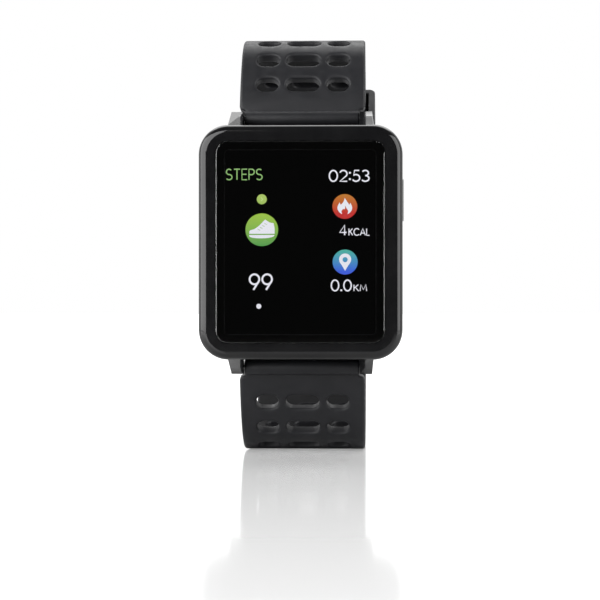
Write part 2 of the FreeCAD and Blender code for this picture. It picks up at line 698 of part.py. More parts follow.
def rear_screws():
    screws = []
    for i, (x, z) in enumerate(((1, 1), (1, -1), (-1, 1), (-1, -1))):
        spot = ("%d * sheet.boss_x" % x, "%d * sheet.boss_z" % z)
        head = rod("screw_head_%d" % i, "sheet.screw_head_radius", "sheet.screw_head_thick",
                   spot[0], "sheet.cover_back - sheet.screw_head_thick", spot[1])
        shank = rod("screw_shank_%d" % i, "sheet.screw_radius", "sheet.screw_length",
                    spot[0], "sheet.cover_back - sheet.screw_head_thick - sheet.screw_length",
                    spot[1])
        slot = block("screw_slot_%d" % i, "1.6 * sheet.screw_head_radius", "0.25", "0.3",
                     spot[0], "sheet.cover_back - 0.25", spot[1])
        screws.append(cut("screw_%d" % i, fuse("screw_body_%d" % i, [head, shank]), slot))
    group("rear_screws", screws)


def sensor():
    keep(rod("sensor_window", "sheet.window_radius", "sheet.bump_wall", "0",
             "sheet.window_front", "0"), "sensor_window")
    board = "sheet.window_front - 0.1 - sheet.led_thick - sheet.sensor_thick"
    keep(rod("sensor_board", "sheet.sensor_radius", "sheet.sensor_thick", "0", board, "0"),
         "sensor_board")
    face = board + " + sheet.sensor_thick"
    leds = [block("sensor_led_%d" % i, "sheet.led_side", "sheet.led_thick", "sheet.led_side",
                  "%d * sheet.led_offset" % side, face, "0")
            for i, side in enumerate((-1, 1))]
    group("sensor_leds", leds)
    keep(block("photodiode", "2 * sheet.led_side", "sheet.led_thick", "2 * sheet.led_side",
               "0", face, "0"), "photodiode")
    pads = [rod("contact_%d" % i, "sheet.contact_radius", "sheet.cover_thick",
                "%d * sheet.contact_x" % side, "sheet.case_back", "sheet.contact_mid")
            for i, side in enumerate((-1, 1))]
    group("charging_contacts", pads)


def side_button():
    """Push button on the right with its seal ring, clip and switch."""
    body = new_body("side_button")
    floor = "sheet.case_width / 2 - sheet.button_well + sheet.button_travel + 0.05"
    cap = sketch_on(body, "YZ_Plane", "cap_outline", floor)
    rounded(cap, "sheet.button_wide", "sheet.button_length", "sheet.button_wide / 2 - 0.01",
            "sheet.button_depth", "sheet.button_mid")
    pad(body, cap, "sheet.button_well - sheet.button_travel - 0.05 + sheet.button_proud",
        "cap_pad", backward=False)
    face = size("case_width") / 2 + size("button_proud")
    outer = lambda edge: abs(edge.BoundBox.XMin - face) < 1e-4 and edge.BoundBox.XLength < 1e-4
    round_edges(body, outer, "sheet.button_proud", "cap_round")
    stem = sketch_on(body, "YZ_Plane", "stem_outline",
                     "sheet.case_width / 2 - sheet.wall - sheet.stem_inner")
    circle(stem, "sheet.stem_radius", "sheet.button_depth", "sheet.button_mid")
    pad(body, stem, "sheet.wall + sheet.stem_inner - sheet.button_well"
        " + sheet.button_travel + 0.1", "stem_pad", backward=False)

    wall = "sheet.case_width / 2 - sheet.wall"
    clip = rod("clip_disc", "sheet.clip_radius", "sheet.clip_thick",
               wall + " - sheet.clip_gap - sheet.clip_thick", "sheet.button_depth",
               "sheet.button_mid", "x")
    hole = rod("clip_hole", "sheet.stem_radius", "sheet.clip_thick",
               wall + " - sheet.clip_gap - sheet.clip_thick", "sheet.button_depth",
               "sheet.button_mid", "x")
    keep(cut("button_clip", clip, hole), "button_clip")

    ring = doc.addObject("Part::Torus", "button_seal")
    ring.setExpression("Radius1", "sheet.stem_radius + 0.02 + sheet.ring_wire")
    ring.setExpression("Radius2", "sheet.ring_wire")
    ring.Placement = Placement(Vector(0, 0, 0), Rotation(Vector(0, 1, 0), 90))
    place(ring, "sheet.case_width / 2 - sheet.button_well - sheet.ring_wire",
          "sheet.button_depth", "sheet.button_mid")
    keep(ring, "button_seal")

    reach = wall + " - sheet.stem_inner - sheet.button_travel - sheet.switch_gap"
    middle = reach + " - sheet.switch_thick / 2"
    keep(block("button_switch", "sheet.switch_thick", "sheet.switch_side", "sheet.switch_side",
               "(%s)" % middle, "sheet.button_depth - sheet.switch_side / 2",
               "sheet.button_mid"), "button_switch")
    behind = reach + " - sheet.switch_thick - sheet.switch_board / 2"
    keep(block("button_board", "sheet.switch_board", "sheet.switch_side",
               "2 * sheet.switch_side", "(%s)" % behind,
               "sheet.button_depth - sheet.switch_side / 2", "sheet.button_mid"),
         "button_board")


# ---------------------------------------------------------------- spring bars


def spring_bar(word, sign):
    """Tube with two sprung tips that reach into the holes of the lugs."""
    y, z = "sheet.bar_depth", "%s * sheet.bar_reach" % sign
    bore = "sheet.tube_radius - sheet.tube_wall"
    tube = rod(word + "_tube_outside", "sheet.tube_radius", "2 * sheet.tube_half",
               "-sheet.tube_half", y, z, "x")
    hole = rod(word + "_tube_bore", bore, "2 * sheet.tube_half", "-sheet.tube_half", y, z, "x")
    keep(cut(word + "_bar_tube", tube, hole), word + "_bar_tube")
    for side, facing in (("left", -1), ("right", 1)):
        name = "%s_tip_%s" % (word, side)
        outward = "sheet.lug_gap / 2 + sheet.tip_in_lug"
        inward = "sheet.tube_half - sheet.tip_in_tube"
        peg = rod(name + "_peg", "sheet.tip_radius", "%s - (%s)" % (outward, inward),
                  "(%s)" % inward if facing > 0 else "-(%s)" % outward, y, z, "x")
        head = rod(name + "_head", bore + " - sheet.tip_fit", "sheet.tip_in_tube / 2",
                   "(%s)" % inward if facing > 0 else
                   "-(%s) - sheet.tip_in_tube / 2" % inward, y, z, "x")
        keep(fuse(name, [peg, head]), name)
    coil = size("tube_half") - size("tip_in_tube") - 0.05
    radius = size("tube_radius") - size("tube_wall") - size("spring_wire") - 0.05
    turns = 14
    pitch = 2 * (coil - size("spring_wire")) / turns
    helix = Part.makeHelix(pitch, pitch * turns, radius)
    profile = Part.Wire(Part.makeCircle(size("spring_wire"), Vector(radius, 0, 0),
                                        Vector(0, 1, 0)))
    spring = Part.Wire(helix).makePipeShell([profile], True, True)
    spring.rotate(Vector(0, 0, 0), Vector(0, 1, 0), 90)
    spring.translate(Vector(-pitch * turns / 2, size("bar_depth"), sign * size("bar_reach")))
    shaped(word + "_bar_spring", spring)


# ---------------------------------------------------------------- strap


def tapered(solid):
    """Trim both sides so that the strap narrows towards the buckle."""
    deep = back_middle + 20
    wide = size("strap_width") / 2
    lean = size("strap_narrow")
    start = size("start_depth")
    tall = 4 * case_mid
    corners = [(-wide, -5.0), (wide, -5.0), (wide, start), (wide - lean * (deep - start), deep),
               (-wide + lean * (deep - start), deep), (-wide, start), (-wide, -5.0)]
    outline = Part.makePolygon([Vector(x, y, -tall / 2) for x, y in corners])
    return solid.common(Part.Face(outline).extrude(Vector(0, 0, tall))).Solids[0]


def soften(solid, radius):
    """Round the four long edges of a strap strip."""
    def is_long(edge):
        box = edge.BoundBox
        beside = min(abs(box.XMin), abs(box.XMax)) > size("lug_gap") / 2 - 1.5
        return beside and math.hypot(box.YLength, box.ZLength) > 2 * thick
    return solid.makeFillet(radius, [edge for edge in solid.Edges if is_long(edge)])


def slot_cutter(path, distance, wide, x):
    """A stadium-shaped cutter square to the strap at this distance along it."""
    tall = size("slot_tall")
    straight = wide - tall
    deep = 2 * thick
    cutter = Part.makeBox(straight, deep, tall, Vector(x - straight / 2, -deep / 2, -tall / 2))
    for side in (-1, 1):
        end = Vector(x + side * straight / 2, -deep / 2, 0)
        cutter = cutter.fuse(Part.makeCylinder(tall / 2, deep, end, Vector(0, 1, 0)))
    point, heading = path.at(distance)
    cutter.rotate(Vector(0, 0, 0), Vector(1, 0, 0), -math.degrees(heading))
    cutter.translate(point)
    return cutter


def slot_row(path, distance):
    """Three slots side by side."""
    middle = size("middle_slot")
    offset = middle / 2 + size("slot_web") + size("side_slot") / 2
    return [slot_cutter(path, distance, middle, 0.0),
            slot_cutter(path, distance, size("side_slot"), -offset),
            slot_cutter(path, distance, size("side_slot"), offset)]


def strap_root():
    """Barrel on the spring bar and the neck that fits between the lugs."""
    neck = strap_start(size("neck_length"))
    neck.line(size("neck_length") + size("neck_overlap"))
    strip = ribbon(neck, -half_thick, half_thick, size("barrel_width"))
    barrel = cross_rod(size("barrel_radius"), size("barrel_width"), size("bar_depth"),
                       size("bar_reach"))
    return strip.fuse(barrel)


def bar_bore():
    return cross_rod(size("tube_radius") + size("bar_fit"), size("strap_width") * 1.1,
                     size("bar_depth"), size("bar_reach"))


def strap_strip(path):
    """The tapered, softened strip along a path, joined to its barrel."""
    strip = soften(tapered(ribbon(path, -half_thick, half_thick, size("strap_width"))),
                   size("strap_edge"))
    return strip.fuse(strap_root()).cut(bar_bore())


def upper_strap():
    """Short half: over the top, down the back to the barrel that holds the buckle pin."""
    path = front_path()
    path.arc(size("back_bend") - half_thick, 90)
    path.line(path.z - pin_z)
    solid = strap_strip(path)
    barrel_wide = 2 * (size("strap_width") / 2
                       - size("strap_narrow") * (pin_y - size("start_depth")))
    solid = solid.fuse(cross_rod(size("end_radius"), barrel_wide, pin_y, pin_z))
    solid = solid.cut(cross_rod(size("pin_radius") + size("pin_fit"), 40, pin_y, pin_z))
    notch = size("tang_width") + 2 * size("notch_gap")
    reach = size("end_radius") + size("notch_gap")
    solid = solid.cut(Part.makeBox(notch, 4 * reach, 2 * reach + 4,
                                   Vector(-notch / 2, pin_y - 2 * reach, pin_z - reach - 4)))
    cutters = []
    for i in range(int(size("top_slots"))):
        cutters += slot_row(path, size("first_slot") + i * size("slot_pitch"))
    return shaped("upper_strap", solid.cut(cutters).removeSplitter())


def tail_corners(path):
    """What is cut off the two corners of the tail so that its end is round."""
    point, heading = path.at(path.length)
    radius = size("tail_corner")
    half = size("strap_width") / 2 - size("strap_narrow") * (point.y - size("start_depth"))
    tools = []
    for side in (-1, 1):
        corner = Part.makeBox(2 * radius, 3 * thick, 2 * radius,
                              Vector(side * half - radius, -1.5 * thick, -radius))
        core = Part.makeCylinder(radius, 3 * thick, Vector(side * (half - radius), -1.5 * thick,
                                                           -radius), Vector(0, 1, 0))
        keep_out = Part.makeBox(2 * radius, 3 * thick, 2 * radius,
                                Vector(side * (half - radius) - radius - side * radius,
                                       -1.5 * thick, -2 * radius))
        below = Part.makeBox(4 * radius, 3 * thick, 2 * radius,
                             Vector(side * half - 2 * radius, -1.5 * thick, -3 * radius))
        tool = corner.cut([core, keep_out, below])
        tool.rotate(Vector(0, 0, 0), Vector(1, 0, 0), -math.degrees(heading))
        tool.translate(point)
        tools.append(tool)
    return tools


def lower_strap():
    """Long half: flat foot, up the back, over the pin and on through the keepers."""
    path = front_path()
    path.line(size("rest_length"))
    path.arc(low_bend - half_thick, 90)
    path.line(back_straight)
    path.arc(size("rise_bend"), -math.degrees(rise))
    path.arc(wrap, math.degrees(rise))
    path.line(back_centre_z - pin_z)
    path.arc(back_middle - back_centre_y + wrap, 90 - size("tail_angle"))
    solid = strap_strip(path).cut(tail_corners(path))
    count = int((path.length - size("first_slot") - size("slot_pitch")) / size("slot_pitch"))
    cutters = []
    for i in range(count + 1):
        cutters += slot_row(path, size("first_slot") + i * size("slot_pitch"))
    solid = solid.cut(cutters).removeSplitter()
    solid = solid.mirror(Vector(0, 0, 0), Vector(0, 0, 1))
    return shaped("lower_strap", solid)


# ---------------------------------------------------------------- closure


def keeper(label, angle, turn, wrist_gap):
    """A rectangular loop round both layers of the strap, between two angles of the arc."""
    inner_low = size("back_bend") - thick - wrist_gap
    inner_high = size("back_bend") + layer_gap + thick + size("keeper_layer_gap")
    wall = size("keeper_wall")
    deepest = back_centre_y + size("back_bend") * math.sin(math.radians(angle - size("keeper_lead")))
    half = (size("strap_width") / 2 - size("strap_narrow") * (deepest - size("start_depth"))
            + size("keeper_side_gap"))

    def arc_ring(low, high, half_wide):
        """Part of a ring between two radii, from this angle to this angle plus the turn."""
        section = Part.makePolygon([Vector(x, back_centre_y, back_centre_z + r) for x, r in
                                    ((-half_wide, low), (half_wide, low), (half_wide, high),
                                     (-half_wide, high), (-half_wide, low))])
        face = Part.Face(section)
        centre = Vector(0, back_centre_y, back_centre_z)
        face.rotate(centre, Vector(1, 0, 0), -angle)
        return face.revolve(centre, Vector(-1, 0, 0), turn)

    outside = arc_ring(inner_low - wall, inner_high + wall, half + wall)
    corners = [edge for edge in outside.Edges if edge.BoundBox.XLength < 1e-4
               and edge.Length > 4 and abs(edge.Curve.Radius if hasattr(edge.Curve, "Radius")
                                           else 0) > size("back_bend") / 2]
    outside = outside.makeFillet(size("keeper_corner"), corners)
    return shaped(label, outside.cut(arc_ring(inner_low, inner_high, half)))


def buckle_frame():
    """Metal loop: two arms from the pin to a round front bar."""
    body = new_body("buckle_frame")
    arm_inner = ("(sheet.strap_width / 2 - sheet.strap_narrow"
                 " * (sheet.pin_y - sheet.start_depth) + sheet.frame_gap)")
    front_bar_y = ("(sheet.pin_y + sheet.strap_thick / 2 + sheet.front_bar_gap"
                   " + sheet.front_bar_radius)")
    front_bar_z = "(sheet.pin_z - sheet.bar_drop)"
    width = "2 * (%s + sheet.frame_thick)" % arm_inner
    side = sketch_on(body, "YZ_Plane", "arm_side")
    polygon(side, [("sheet.pin_y - sheet.arm_radius", "sheet.pin_z + sheet.arm_radius"),
                   ("sheet.pin_y + sheet.arm_radius", "sheet.pin_z + sheet.arm_radius"),
                   (front_bar_y + " + sheet.front_bar_radius",
                    front_bar_z + " - sheet.front_bar_radius"),
                   (front_bar_y + " - sheet.front_bar_radius",
                    front_bar_z + " - sheet.front_bar_radius")])
    pad(body, side, width, "arm_pad", backward=False, both=True)
    corners = (lambda edge: edge.BoundBox.YLength < 1e-4 and edge.BoundBox.ZLength < 1e-4)
    round_edges(body, corners, "0.8 * sheet.front_bar_radius", "arm_round")
    between = sketch_on(body, "YZ_Plane", "between_arms")
    polygon(between, [("sheet.pin_y - 5", "sheet.pin_z + 5"), ("sheet.pin_y + 9", "sheet.pin_z + 5"),
                      ("sheet.pin_y + 9", "sheet.pin_z - sheet.bar_drop - 5"),
                      ("sheet.pin_y - 5", "sheet.pin_z - sheet.bar_drop - 5")])
    pocket(body, between, "2 * %s" % arm_inner, "between_cut", both=True)
    bar = sketch_on(body, "YZ_Plane", "front_bar_outline")
    circle(bar, "sheet.front_bar_radius", front_bar_y, front_bar_z)
    pad(body, bar, width + " - 0.2", "front_bar_pad", backward=False, both=True)
    hole = sketch_on(body, "YZ_Plane", "pin_hole_outline")
    circle(hole, "sheet.pin_radius", "sheet.pin_y", "sheet.pin_z")
    pocket(body, hole, width, "pin_hole_cut", both=True)
    return body


def buckle_parts():
    half = ("(sheet.strap_width / 2 - sheet.strap_narrow * (sheet.pin_y - sheet.start_depth)"
            " + sheet.frame_gap + sheet.frame_thick)")
    keep(rod("buckle_pin", "sheet.pin_radius", "2 * " + half, "-" + half, "sheet.pin_y",
             "sheet.pin_z", "x"), "buckle_pin")


def tang():
    """Prong that turns on the pin, passes through a middle slot and rests on the bar."""
    width = size("tang_width")
    stout = size("tang_thick")
    lean = size("tang_lean")
    eye = cross_rod(size("end_radius"), width, pin_y, pin_z)
    leg = Part.makeBox(width, size("tang_leg"), stout, Vector(-width / 2, 0, -stout / 2))
    leg.rotate(Vector(0, 0, 0), Vector(1, 0, 0), -lean)
    leg.translate(Vector(0, pin_y, pin_z))
    bar_y = pin_y + half_thick + size("front_bar_gap") + size("front_bar_radius")
    bar_z = pin_z - size("bar_drop")
    top = Vector(0, pin_y + size("tang_leg") * math.cos(math.radians(lean)),
                 pin_z - size("tang_leg") * math.sin(math.radians(lean)))
    foot = Vector(0, bar_y + size("front_bar_radius") + size("tang_rest_gap") + stout,
                  bar_z - size("tang_over"))
    down = (foot - top).normalize()
    across = Vector(0, down.z, -down.y)
    start = top - down * (stout / 2)
    blade = Part.Face(Part.makePolygon([start, foot, foot + across * stout,
                                        start + across * stout, start]))
    blade.translate(Vector(-width / 2, 0, 0))
    solid = eye.fuse([leg, blade.extrude(Vector(width, 0, 0))])
    solid = solid.cut(cross_rod(size("pin_radius") + size("pin_fit"), 2 * width, pin_y, pin_z))
    return shaped("buckle_tang", solid.removeSplitter())


case_frame()
cover_glass()
glass_seal()
display_stack()
display_flex()
chassis()
electronics()
rear_cover()
rear_seal()
rear_screws()
sensor()
side_button()
spring_bar("upper", 1)
spring_bar("lower", -1)
upper_strap()
lower_strap()
keeper("free_keeper", size("free_keeper_angle"), size("free_keeper_turn"),
       size("keeper_layer_gap"))
keeper("fixed_keeper", size("fixed_keeper_angle"), size("fixed_keeper_turn"), 0.0)
buckle_frame()
buckle_parts()
tang()

doc.recompute()
for item in doc.Objects:
    if "Invalid" in item.State or "Error" in item.State:
        raise ValueError("%s failed: %s" % (item.Label, item.State))
for label, piece in NODES.items():
    if piece.Shape.isNull() or not piece.Shape.isValid():
        raise ValueError("%s has no valid shape" % label)
    print("%-20s solids %d volume %10.3f" % (label, len(piece.Shape.Solids), piece.Shape.Volume))
for label, piece in NODES.items():
    piece.Shape.exportStep("parts/%s.step" % label)
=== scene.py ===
import json
import math

import bpy
from mathutils import Matrix, Vector


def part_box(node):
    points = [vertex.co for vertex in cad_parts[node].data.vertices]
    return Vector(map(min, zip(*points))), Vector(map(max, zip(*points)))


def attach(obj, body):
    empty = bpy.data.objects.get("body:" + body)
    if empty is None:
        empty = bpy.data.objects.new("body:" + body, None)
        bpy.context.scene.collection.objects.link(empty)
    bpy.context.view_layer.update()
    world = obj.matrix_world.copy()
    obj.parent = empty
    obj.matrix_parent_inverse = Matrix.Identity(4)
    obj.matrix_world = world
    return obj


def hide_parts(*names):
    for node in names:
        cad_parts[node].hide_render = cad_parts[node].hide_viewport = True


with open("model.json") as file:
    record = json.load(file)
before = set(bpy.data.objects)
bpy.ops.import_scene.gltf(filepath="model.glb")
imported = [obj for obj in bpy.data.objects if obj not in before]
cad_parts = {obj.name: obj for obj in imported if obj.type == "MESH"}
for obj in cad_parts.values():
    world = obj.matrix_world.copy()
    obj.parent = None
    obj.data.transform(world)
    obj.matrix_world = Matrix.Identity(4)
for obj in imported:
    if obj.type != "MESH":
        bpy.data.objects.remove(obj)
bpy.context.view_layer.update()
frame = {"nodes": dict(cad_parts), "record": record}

# Smartwatch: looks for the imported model.  Lengths are metres; MM turns a size in
# millimetres into metres.  X is right, Y runs from the display to the buckle, Z is up.

MM = 0.001
GLASS_LOW, GLASS_HIGH = (Vector(corner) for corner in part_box("cover_glass"))
GLASS_FRONT = GLASS_LOW.y
CASE_MID = (GLASS_LOW.z + GLASS_HIGH.z) / 2

NOISE_ROUGHNESS = 0.55
SMOOTH_ANGLE = math.radians(35)      # edges sharper than this stay crisp
CORNER_ANGLE = math.radians(42)      # edges sharper than this are broken
FLAT_ANGLE = math.radians(0.6)       # faces closer than this are one face
WELD = 0.002 * MM
FACING = 0.9                         # how far a face's normal lies along an axis

# ---------------------------------------------------------------- shader tools


class Wire:
    """A node's output that can be added and multiplied."""

    def __init__(self, finish, socket):
        self.finish = finish
        self.socket = socket

    def combine(self, operation, other):
        return self.finish.node("ShaderNodeMath", {"operation": operation}, {0: self, 1: other})

    def __add__(self, other):
        return self.combine("ADD", other)

    def __mul__(self, other):
        return self.combine("MULTIPLY", other)


class Finish:
    """A material built round one Principled shader."""

    def __init__(self, name, **fixed):
        self.material = bpy.data.materials.new(name)
        self.material.use_nodes = True
        self.tree = self.material.node_tree
        self.tree.nodes.clear()
        self.shader = self.tree.nodes.new("ShaderNodeBsdfPrincipled")
        output = self.tree.nodes.new("ShaderNodeOutputMaterial")
        self.tree.links.new(self.shader.outputs[0], output.inputs[0])
        for word, value in fixed.items():
            self.set(word.replace("_", " ").title().replace("Ior", "IOR"), value)

    def feed(self, socket, value):
        """Links a wire to the socket, or sets a number or a colour on it."""
        if isinstance(value, Wire):
            self.tree.links.new(value.socket, socket)
        elif socket.type == "RGBA":
            socket.default_value = (*value, 1.0)
        else:
            socket.default_value = value

    def set(self, word, value):
        self.feed(self.shader.inputs[word], value)

    def node(self, kind, settings=None, sockets=None, output=0):
        """Adds a node; "stops" are the places and colours of a colour ramp."""
        made = self.tree.nodes.new(kind)
        settings = dict(settings or {})
        stops = settings.pop("stops", ())
        for word, value in settings.items():
            setattr(made, word, value)
        if stops:
            for element, (place, colour) in zip(made.color_ramp.elements, stops):
                element.position = place
                element.color = (*colour, 1.0)
        for word, value in (sockets or {}).items():
            self.feed(made.inputs[word], value)
        return Wire(self, made.outputs[output])

    def place(self):
        return self.node("ShaderNodeTexCoord", output="Object")

    def noise(self, size, detail=3.0):
        """Cloudy noise from 0 to 1 whose blotches are about this many metres across."""
        return self.node("ShaderNodeTexNoise", {},
                         {"Vector": self.place(), "Scale": 1 / size, "Detail": detail,
                          "Roughness": NOISE_ROUGHNESS})

    def ramp(self, value, low, high, start=0.3, stop=0.7):
        """Two numbers or two colours mixed by a value."""
        if not isinstance(low, tuple):
            low, high = (low,) * 3, (high,) * 3
        return self.node("ShaderNodeValToRGB", {"stops": [(start, low), (stop, high)]},
                         {"Fac": value})

    def bump(self, height, depth):
        """Relief from a height between 0 and 1; depth is in metres."""
        return self.node("ShaderNodeBump", {}, {"Height": height, "Distance": depth,
                                                "Strength": 1.0})


def moulded(name, dark, light, rough_low, rough_high, grain, depth, **fixed):
    """Moulded plastic or rubber: cloudy colour, patchy gloss and a fine grain."""
    cloud_size = 4 * MM
    gloss_patch = 1.3 * MM
    broad_grain = 6 * grain
    broad_share = 0.6
    finish = Finish(name, **fixed)
    cloud = finish.noise(cloud_size)
    finish.set("Base Color", finish.ramp(cloud, dark, light))
    finish.set("Roughness", finish.ramp(finish.noise(gloss_patch), rough_low, rough_high))
    fine = finish.noise(grain, detail=2.0)
    broad = finish.noise(broad_grain)
    finish.set("Normal", finish.bump(fine + broad * broad_share, depth))
    return finish.material


def brushed(name, colour, rough_low, rough_high, axis):
    """Turned or brushed metal with fine marks across one axis."""
    mark_stretch = 18.0
    mark_depth = 0.004 * MM
    dulling = 0.82
    finish = Finish(name, metallic=1.0)
    stretch = [1.0, 1.0, 1.0]
    stretch[axis] = mark_stretch
    place = finish.node("ShaderNodeMapping", {}, {"Vector": finish.place(),
                                                  "Scale": tuple(stretch)})
    marks = finish.node("ShaderNodeTexNoise", {}, {"Vector": place, "Scale": 900.0,
                                                   "Detail": 4.0})
    tint = tuple(channel * dulling for channel in colour)
    finish.set("Base Color", finish.ramp(marks, tint, colour))
    finish.set("Roughness", finish.ramp(marks, rough_low, rough_high))
    finish.set("Normal", finish.bump(marks, mark_depth))
    return finish.material


def polished_black():
    """High-gloss black case: deep colour, faint polishing haze and a few hairline marks."""
    haze_size = 5 * MM
    hair_angles = (0.3, 0.5, 0.9)
    hair_stretch = (1.0, 1.0, 26.0)
    hair_roughness = 0.1
    wave_size = 2.4 * MM
    wave_depth = 0.0015 * MM
    finish = Finish("polished_black", specular_ior_level=0.5)
    haze = finish.noise(haze_size)
    finish.set("Base Color", finish.ramp(haze, (0.0045, 0.0045, 0.005), (0.0075, 0.0075, 0.008)))
    place = finish.node("ShaderNodeMapping", {}, {"Vector": finish.place(),
                                                  "Rotation": hair_angles,
                                                  "Scale": hair_stretch})
    hair = finish.node("ShaderNodeTexNoise", {}, {"Vector": place, "Scale": 260.0,
                                                  "Detail": 2.0})
    marks = finish.ramp(hair, 0.0, 1.0, 0.66, 0.72)
    finish.set("Roughness", finish.ramp(haze, 0.05, 0.11) + marks * hair_roughness)
    finish.set("Normal", finish.bump(finish.noise(wave_size), wave_depth))
    return finish.material


def clear_glass(name, tint, rough):
    """Tinted glass with faint smears that are a little darker and duller."""
    smear_size = 7 * MM
    smear_tint = tuple(channel * 0.97 for channel in tint)
    smear_rough = rough * 2.2
    finish = Finish(name, transmission_weight=1.0, ior=1.5)
    smear = finish.noise(smear_size)
    finish.set("Base Color", finish.ramp(smear, tint, smear_tint))
    finish.set("Roughness", finish.ramp(smear, rough, smear_rough))
    return finish.material


def glow(name, top, bottom, low, high):
    """Lit part of the display, shaded from its bottom colour at the height low to its top
    colour at the height high, both in millimetres above the case middle."""
    finish = Finish(name, base_color=(0.0, 0.0, 0.0), roughness=0.5, emission_strength=1.0)
    height = finish.node("ShaderNodeSeparateXYZ", {}, {"Vector": finish.place()}, output=2)
    share = finish.node("ShaderNodeMapRange", {}, {"Value": height,
                                                   "From Min": CASE_MID + low * MM,
                                                   "From Max": CASE_MID + high * MM})
    finish.set("Emission Color", finish.ramp(share, bottom, top, 0.0, 1.0))
    return finish.material


def circuit_board():
    """Green lacquer over a grid of tracks."""
    finish = Finish("green_board")
    grid = finish.node("ShaderNodeTexBrick", {"offset": 0.5},
                       {"Vector": finish.place(), "Scale": 900.0, "Color1": (0.01, 0.07, 0.03),
                        "Color2": (0.015, 0.1, 0.045), "Mortar": (0.03, 0.16, 0.07),
                        "Mortar Size": 0.03})
    finish.set("Base Color", grid)
    finish.set("Roughness", finish.ramp(finish.noise(1 * MM), 0.3, 0.45))
    return finish.material


def display_face():
    """Dark display with faint specks in its colour."""
    finish = Finish("display_face", specular_ior_level=0.2)
    finish.set("Base Color", finish.ramp(finish.noise(0.11 * MM), (0.0015, 0.0015, 0.0018),
                                         (0.0035, 0.0035, 0.004)))
    finish.set("Roughness", finish.ramp(finish.noise(3 * MM), 0.4, 0.55))
    return finish.material


RUBBER = moulded("strap_rubber", (0.0085, 0.0087, 0.0105), (0.0125, 0.0127, 0.015), 0.42, 0.56,
                 0.11 * MM, 0.006 * MM, specular_ior_level=0.35)
# Inside of the strap loop, the side against the skin: a darker copy of the strap rubber. The
# darker colour is painted shade for the unlit inside; the rougher, duller finish is the matte
# moulding.
STRAP_INSIDE_PAINTED_SHADE = moulded("strap_inside_painted_shade", (0.006, 0.006, 0.0065), (0.009, 0.009, 0.01), 0.6, 0.75,
                    0.14 * MM, 0.008 * MM, specular_ior_level=0.25)
KEEPER_RUBBER = moulded("keeper_rubber", (0.0085, 0.0087, 0.0105), (0.012, 0.0122, 0.014), 0.44,
                        0.58, 0.11 * MM, 0.006 * MM)
BLACK_CASE = polished_black()
FINISHES = {
    "case": BLACK_CASE,
    "cover_glass": clear_glass("cover_glass", (0.92, 0.93, 0.94), 0.012),
    "seal": moulded("seal_rubber", (0.012, 0.012, 0.012), (0.02, 0.02, 0.02), 0.5, 0.7,
                    0.2 * MM, 0.01 * MM),
    "display": display_face(),
    "backplate": brushed("pressed_plate", (0.72, 0.72, 0.74), 0.25, 0.4, 0),
    "flex": moulded("amber_film", (0.35, 0.15, 0.03), (0.5, 0.25, 0.06), 0.25, 0.4,
                    0.3 * MM, 0.003 * MM),
    "chassis": moulded("chassis_plastic", (0.03, 0.03, 0.033), (0.045, 0.045, 0.05), 0.5, 0.7,
                       0.15 * MM, 0.01 * MM),
    "battery": brushed("foil_pouch", (0.62, 0.62, 0.64), 0.3, 0.5, 2),
    "board": circuit_board(),
    "shield": brushed("tinned_steel", (0.6, 0.6, 0.6), 0.25, 0.45, 0),
    "chip": moulded("chip_resin", (0.015, 0.015, 0.016), (0.03, 0.03, 0.03), 0.5, 0.65,
                    0.08 * MM, 0.004 * MM),
    "rear_cover": moulded("rear_plastic", (0.012, 0.012, 0.013), (0.02, 0.02, 0.021), 0.38, 0.5,
                          0.09 * MM, 0.006 * MM),
    "screw": brushed("blackened_steel", (0.2, 0.2, 0.21), 0.3, 0.45, 0),
    "sensor_window": clear_glass("smoked_glass", (0.25, 0.26, 0.28), 0.02),
    "led": moulded("led_lens", (0.05, 0.5, 0.14), (0.09, 0.65, 0.2), 0.1, 0.2, 0.3 * MM,
                   0.002 * MM),
    "photodiode": moulded("diode_face", (0.02, 0.015, 0.03), (0.04, 0.03, 0.055), 0.15, 0.25,
                          0.3 * MM, 0.002 * MM),
    "gold": brushed("gold_plate", (0.85, 0.6, 0.25), 0.18, 0.3, 0),
    "button": moulded("button_plastic", (0.01, 0.01, 0.011), (0.016, 0.016, 0.017), 0.2, 0.3,
                      0.1 * MM, 0.003 * MM),
    "bar": brushed("turned_steel", (0.55, 0.55, 0.56), 0.22, 0.38, 0),
    "strap": RUBBER,
    "keeper": KEEPER_RUBBER,
    "buckle": brushed("black_coated_steel", (0.05, 0.05, 0.053), 0.28, 0.42, 0),
}
SLOT_OF = {item["node"]: item["material_slot"] for item in frame["record"]["subparts"]}


def dress_cad_nodes():
    """Gives each CAD node its finish."""
    for name, node in frame["nodes"].items():
        node.data.materials.clear()
        node.data.materials.append(FINISHES[SLOT_OF[name]])


# ---------------------------------------------------------------- modelling tools


def start_object(obj):
    """Selects only this object and makes it active."""
    bpy.ops.object.select_all(action="DESELECT")
    obj.select_set(True)
    bpy.context.view_layer.objects.active = obj


def apply_place(obj):
    start_object(obj)
    bpy.ops.object.transform_apply(location=True, rotation=True, scale=True)


def apply_modifiers(obj):
    start_object(obj)
    for modifier in list(obj.modifiers):
        bpy.ops.object.modifier_apply(modifier=modifier.name)


def pick_faces(obj, test):
    """In edit mode, selects the faces that pass the test."""
    bpy.ops.object.mode_set(mode="EDIT")
    bpy.ops.mesh.select_all(action="DESELECT")
    bpy.ops.mesh.select_mode(type="FACE")
    bpy.ops.object.mode_set(mode="OBJECT")
    for face in obj.data.polygons:
        face.select = test(face)
    bpy.ops.object.mode_set(mode="EDIT")


def leave_edit():
    bpy.ops.object.mode_set(mode="OBJECT")


def join(first, others):
    start_object(first)
    for other in others:
        other.select_set(True)
    bpy.ops.object.join()


def finish_piece(obj, name, body, material):
    """Names a piece, gives it its finish, if it has none yet, and makes it ride on a body."""
    apply_place(obj)
    bpy.ops.object.shade_smooth_by_angle(angle=SMOOTH_ANGLE)
    obj.name = name
    obj.data.name = name
    if material:
        obj.data.materials.clear()
        obj.data.materials.append(material)
    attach(obj, body)


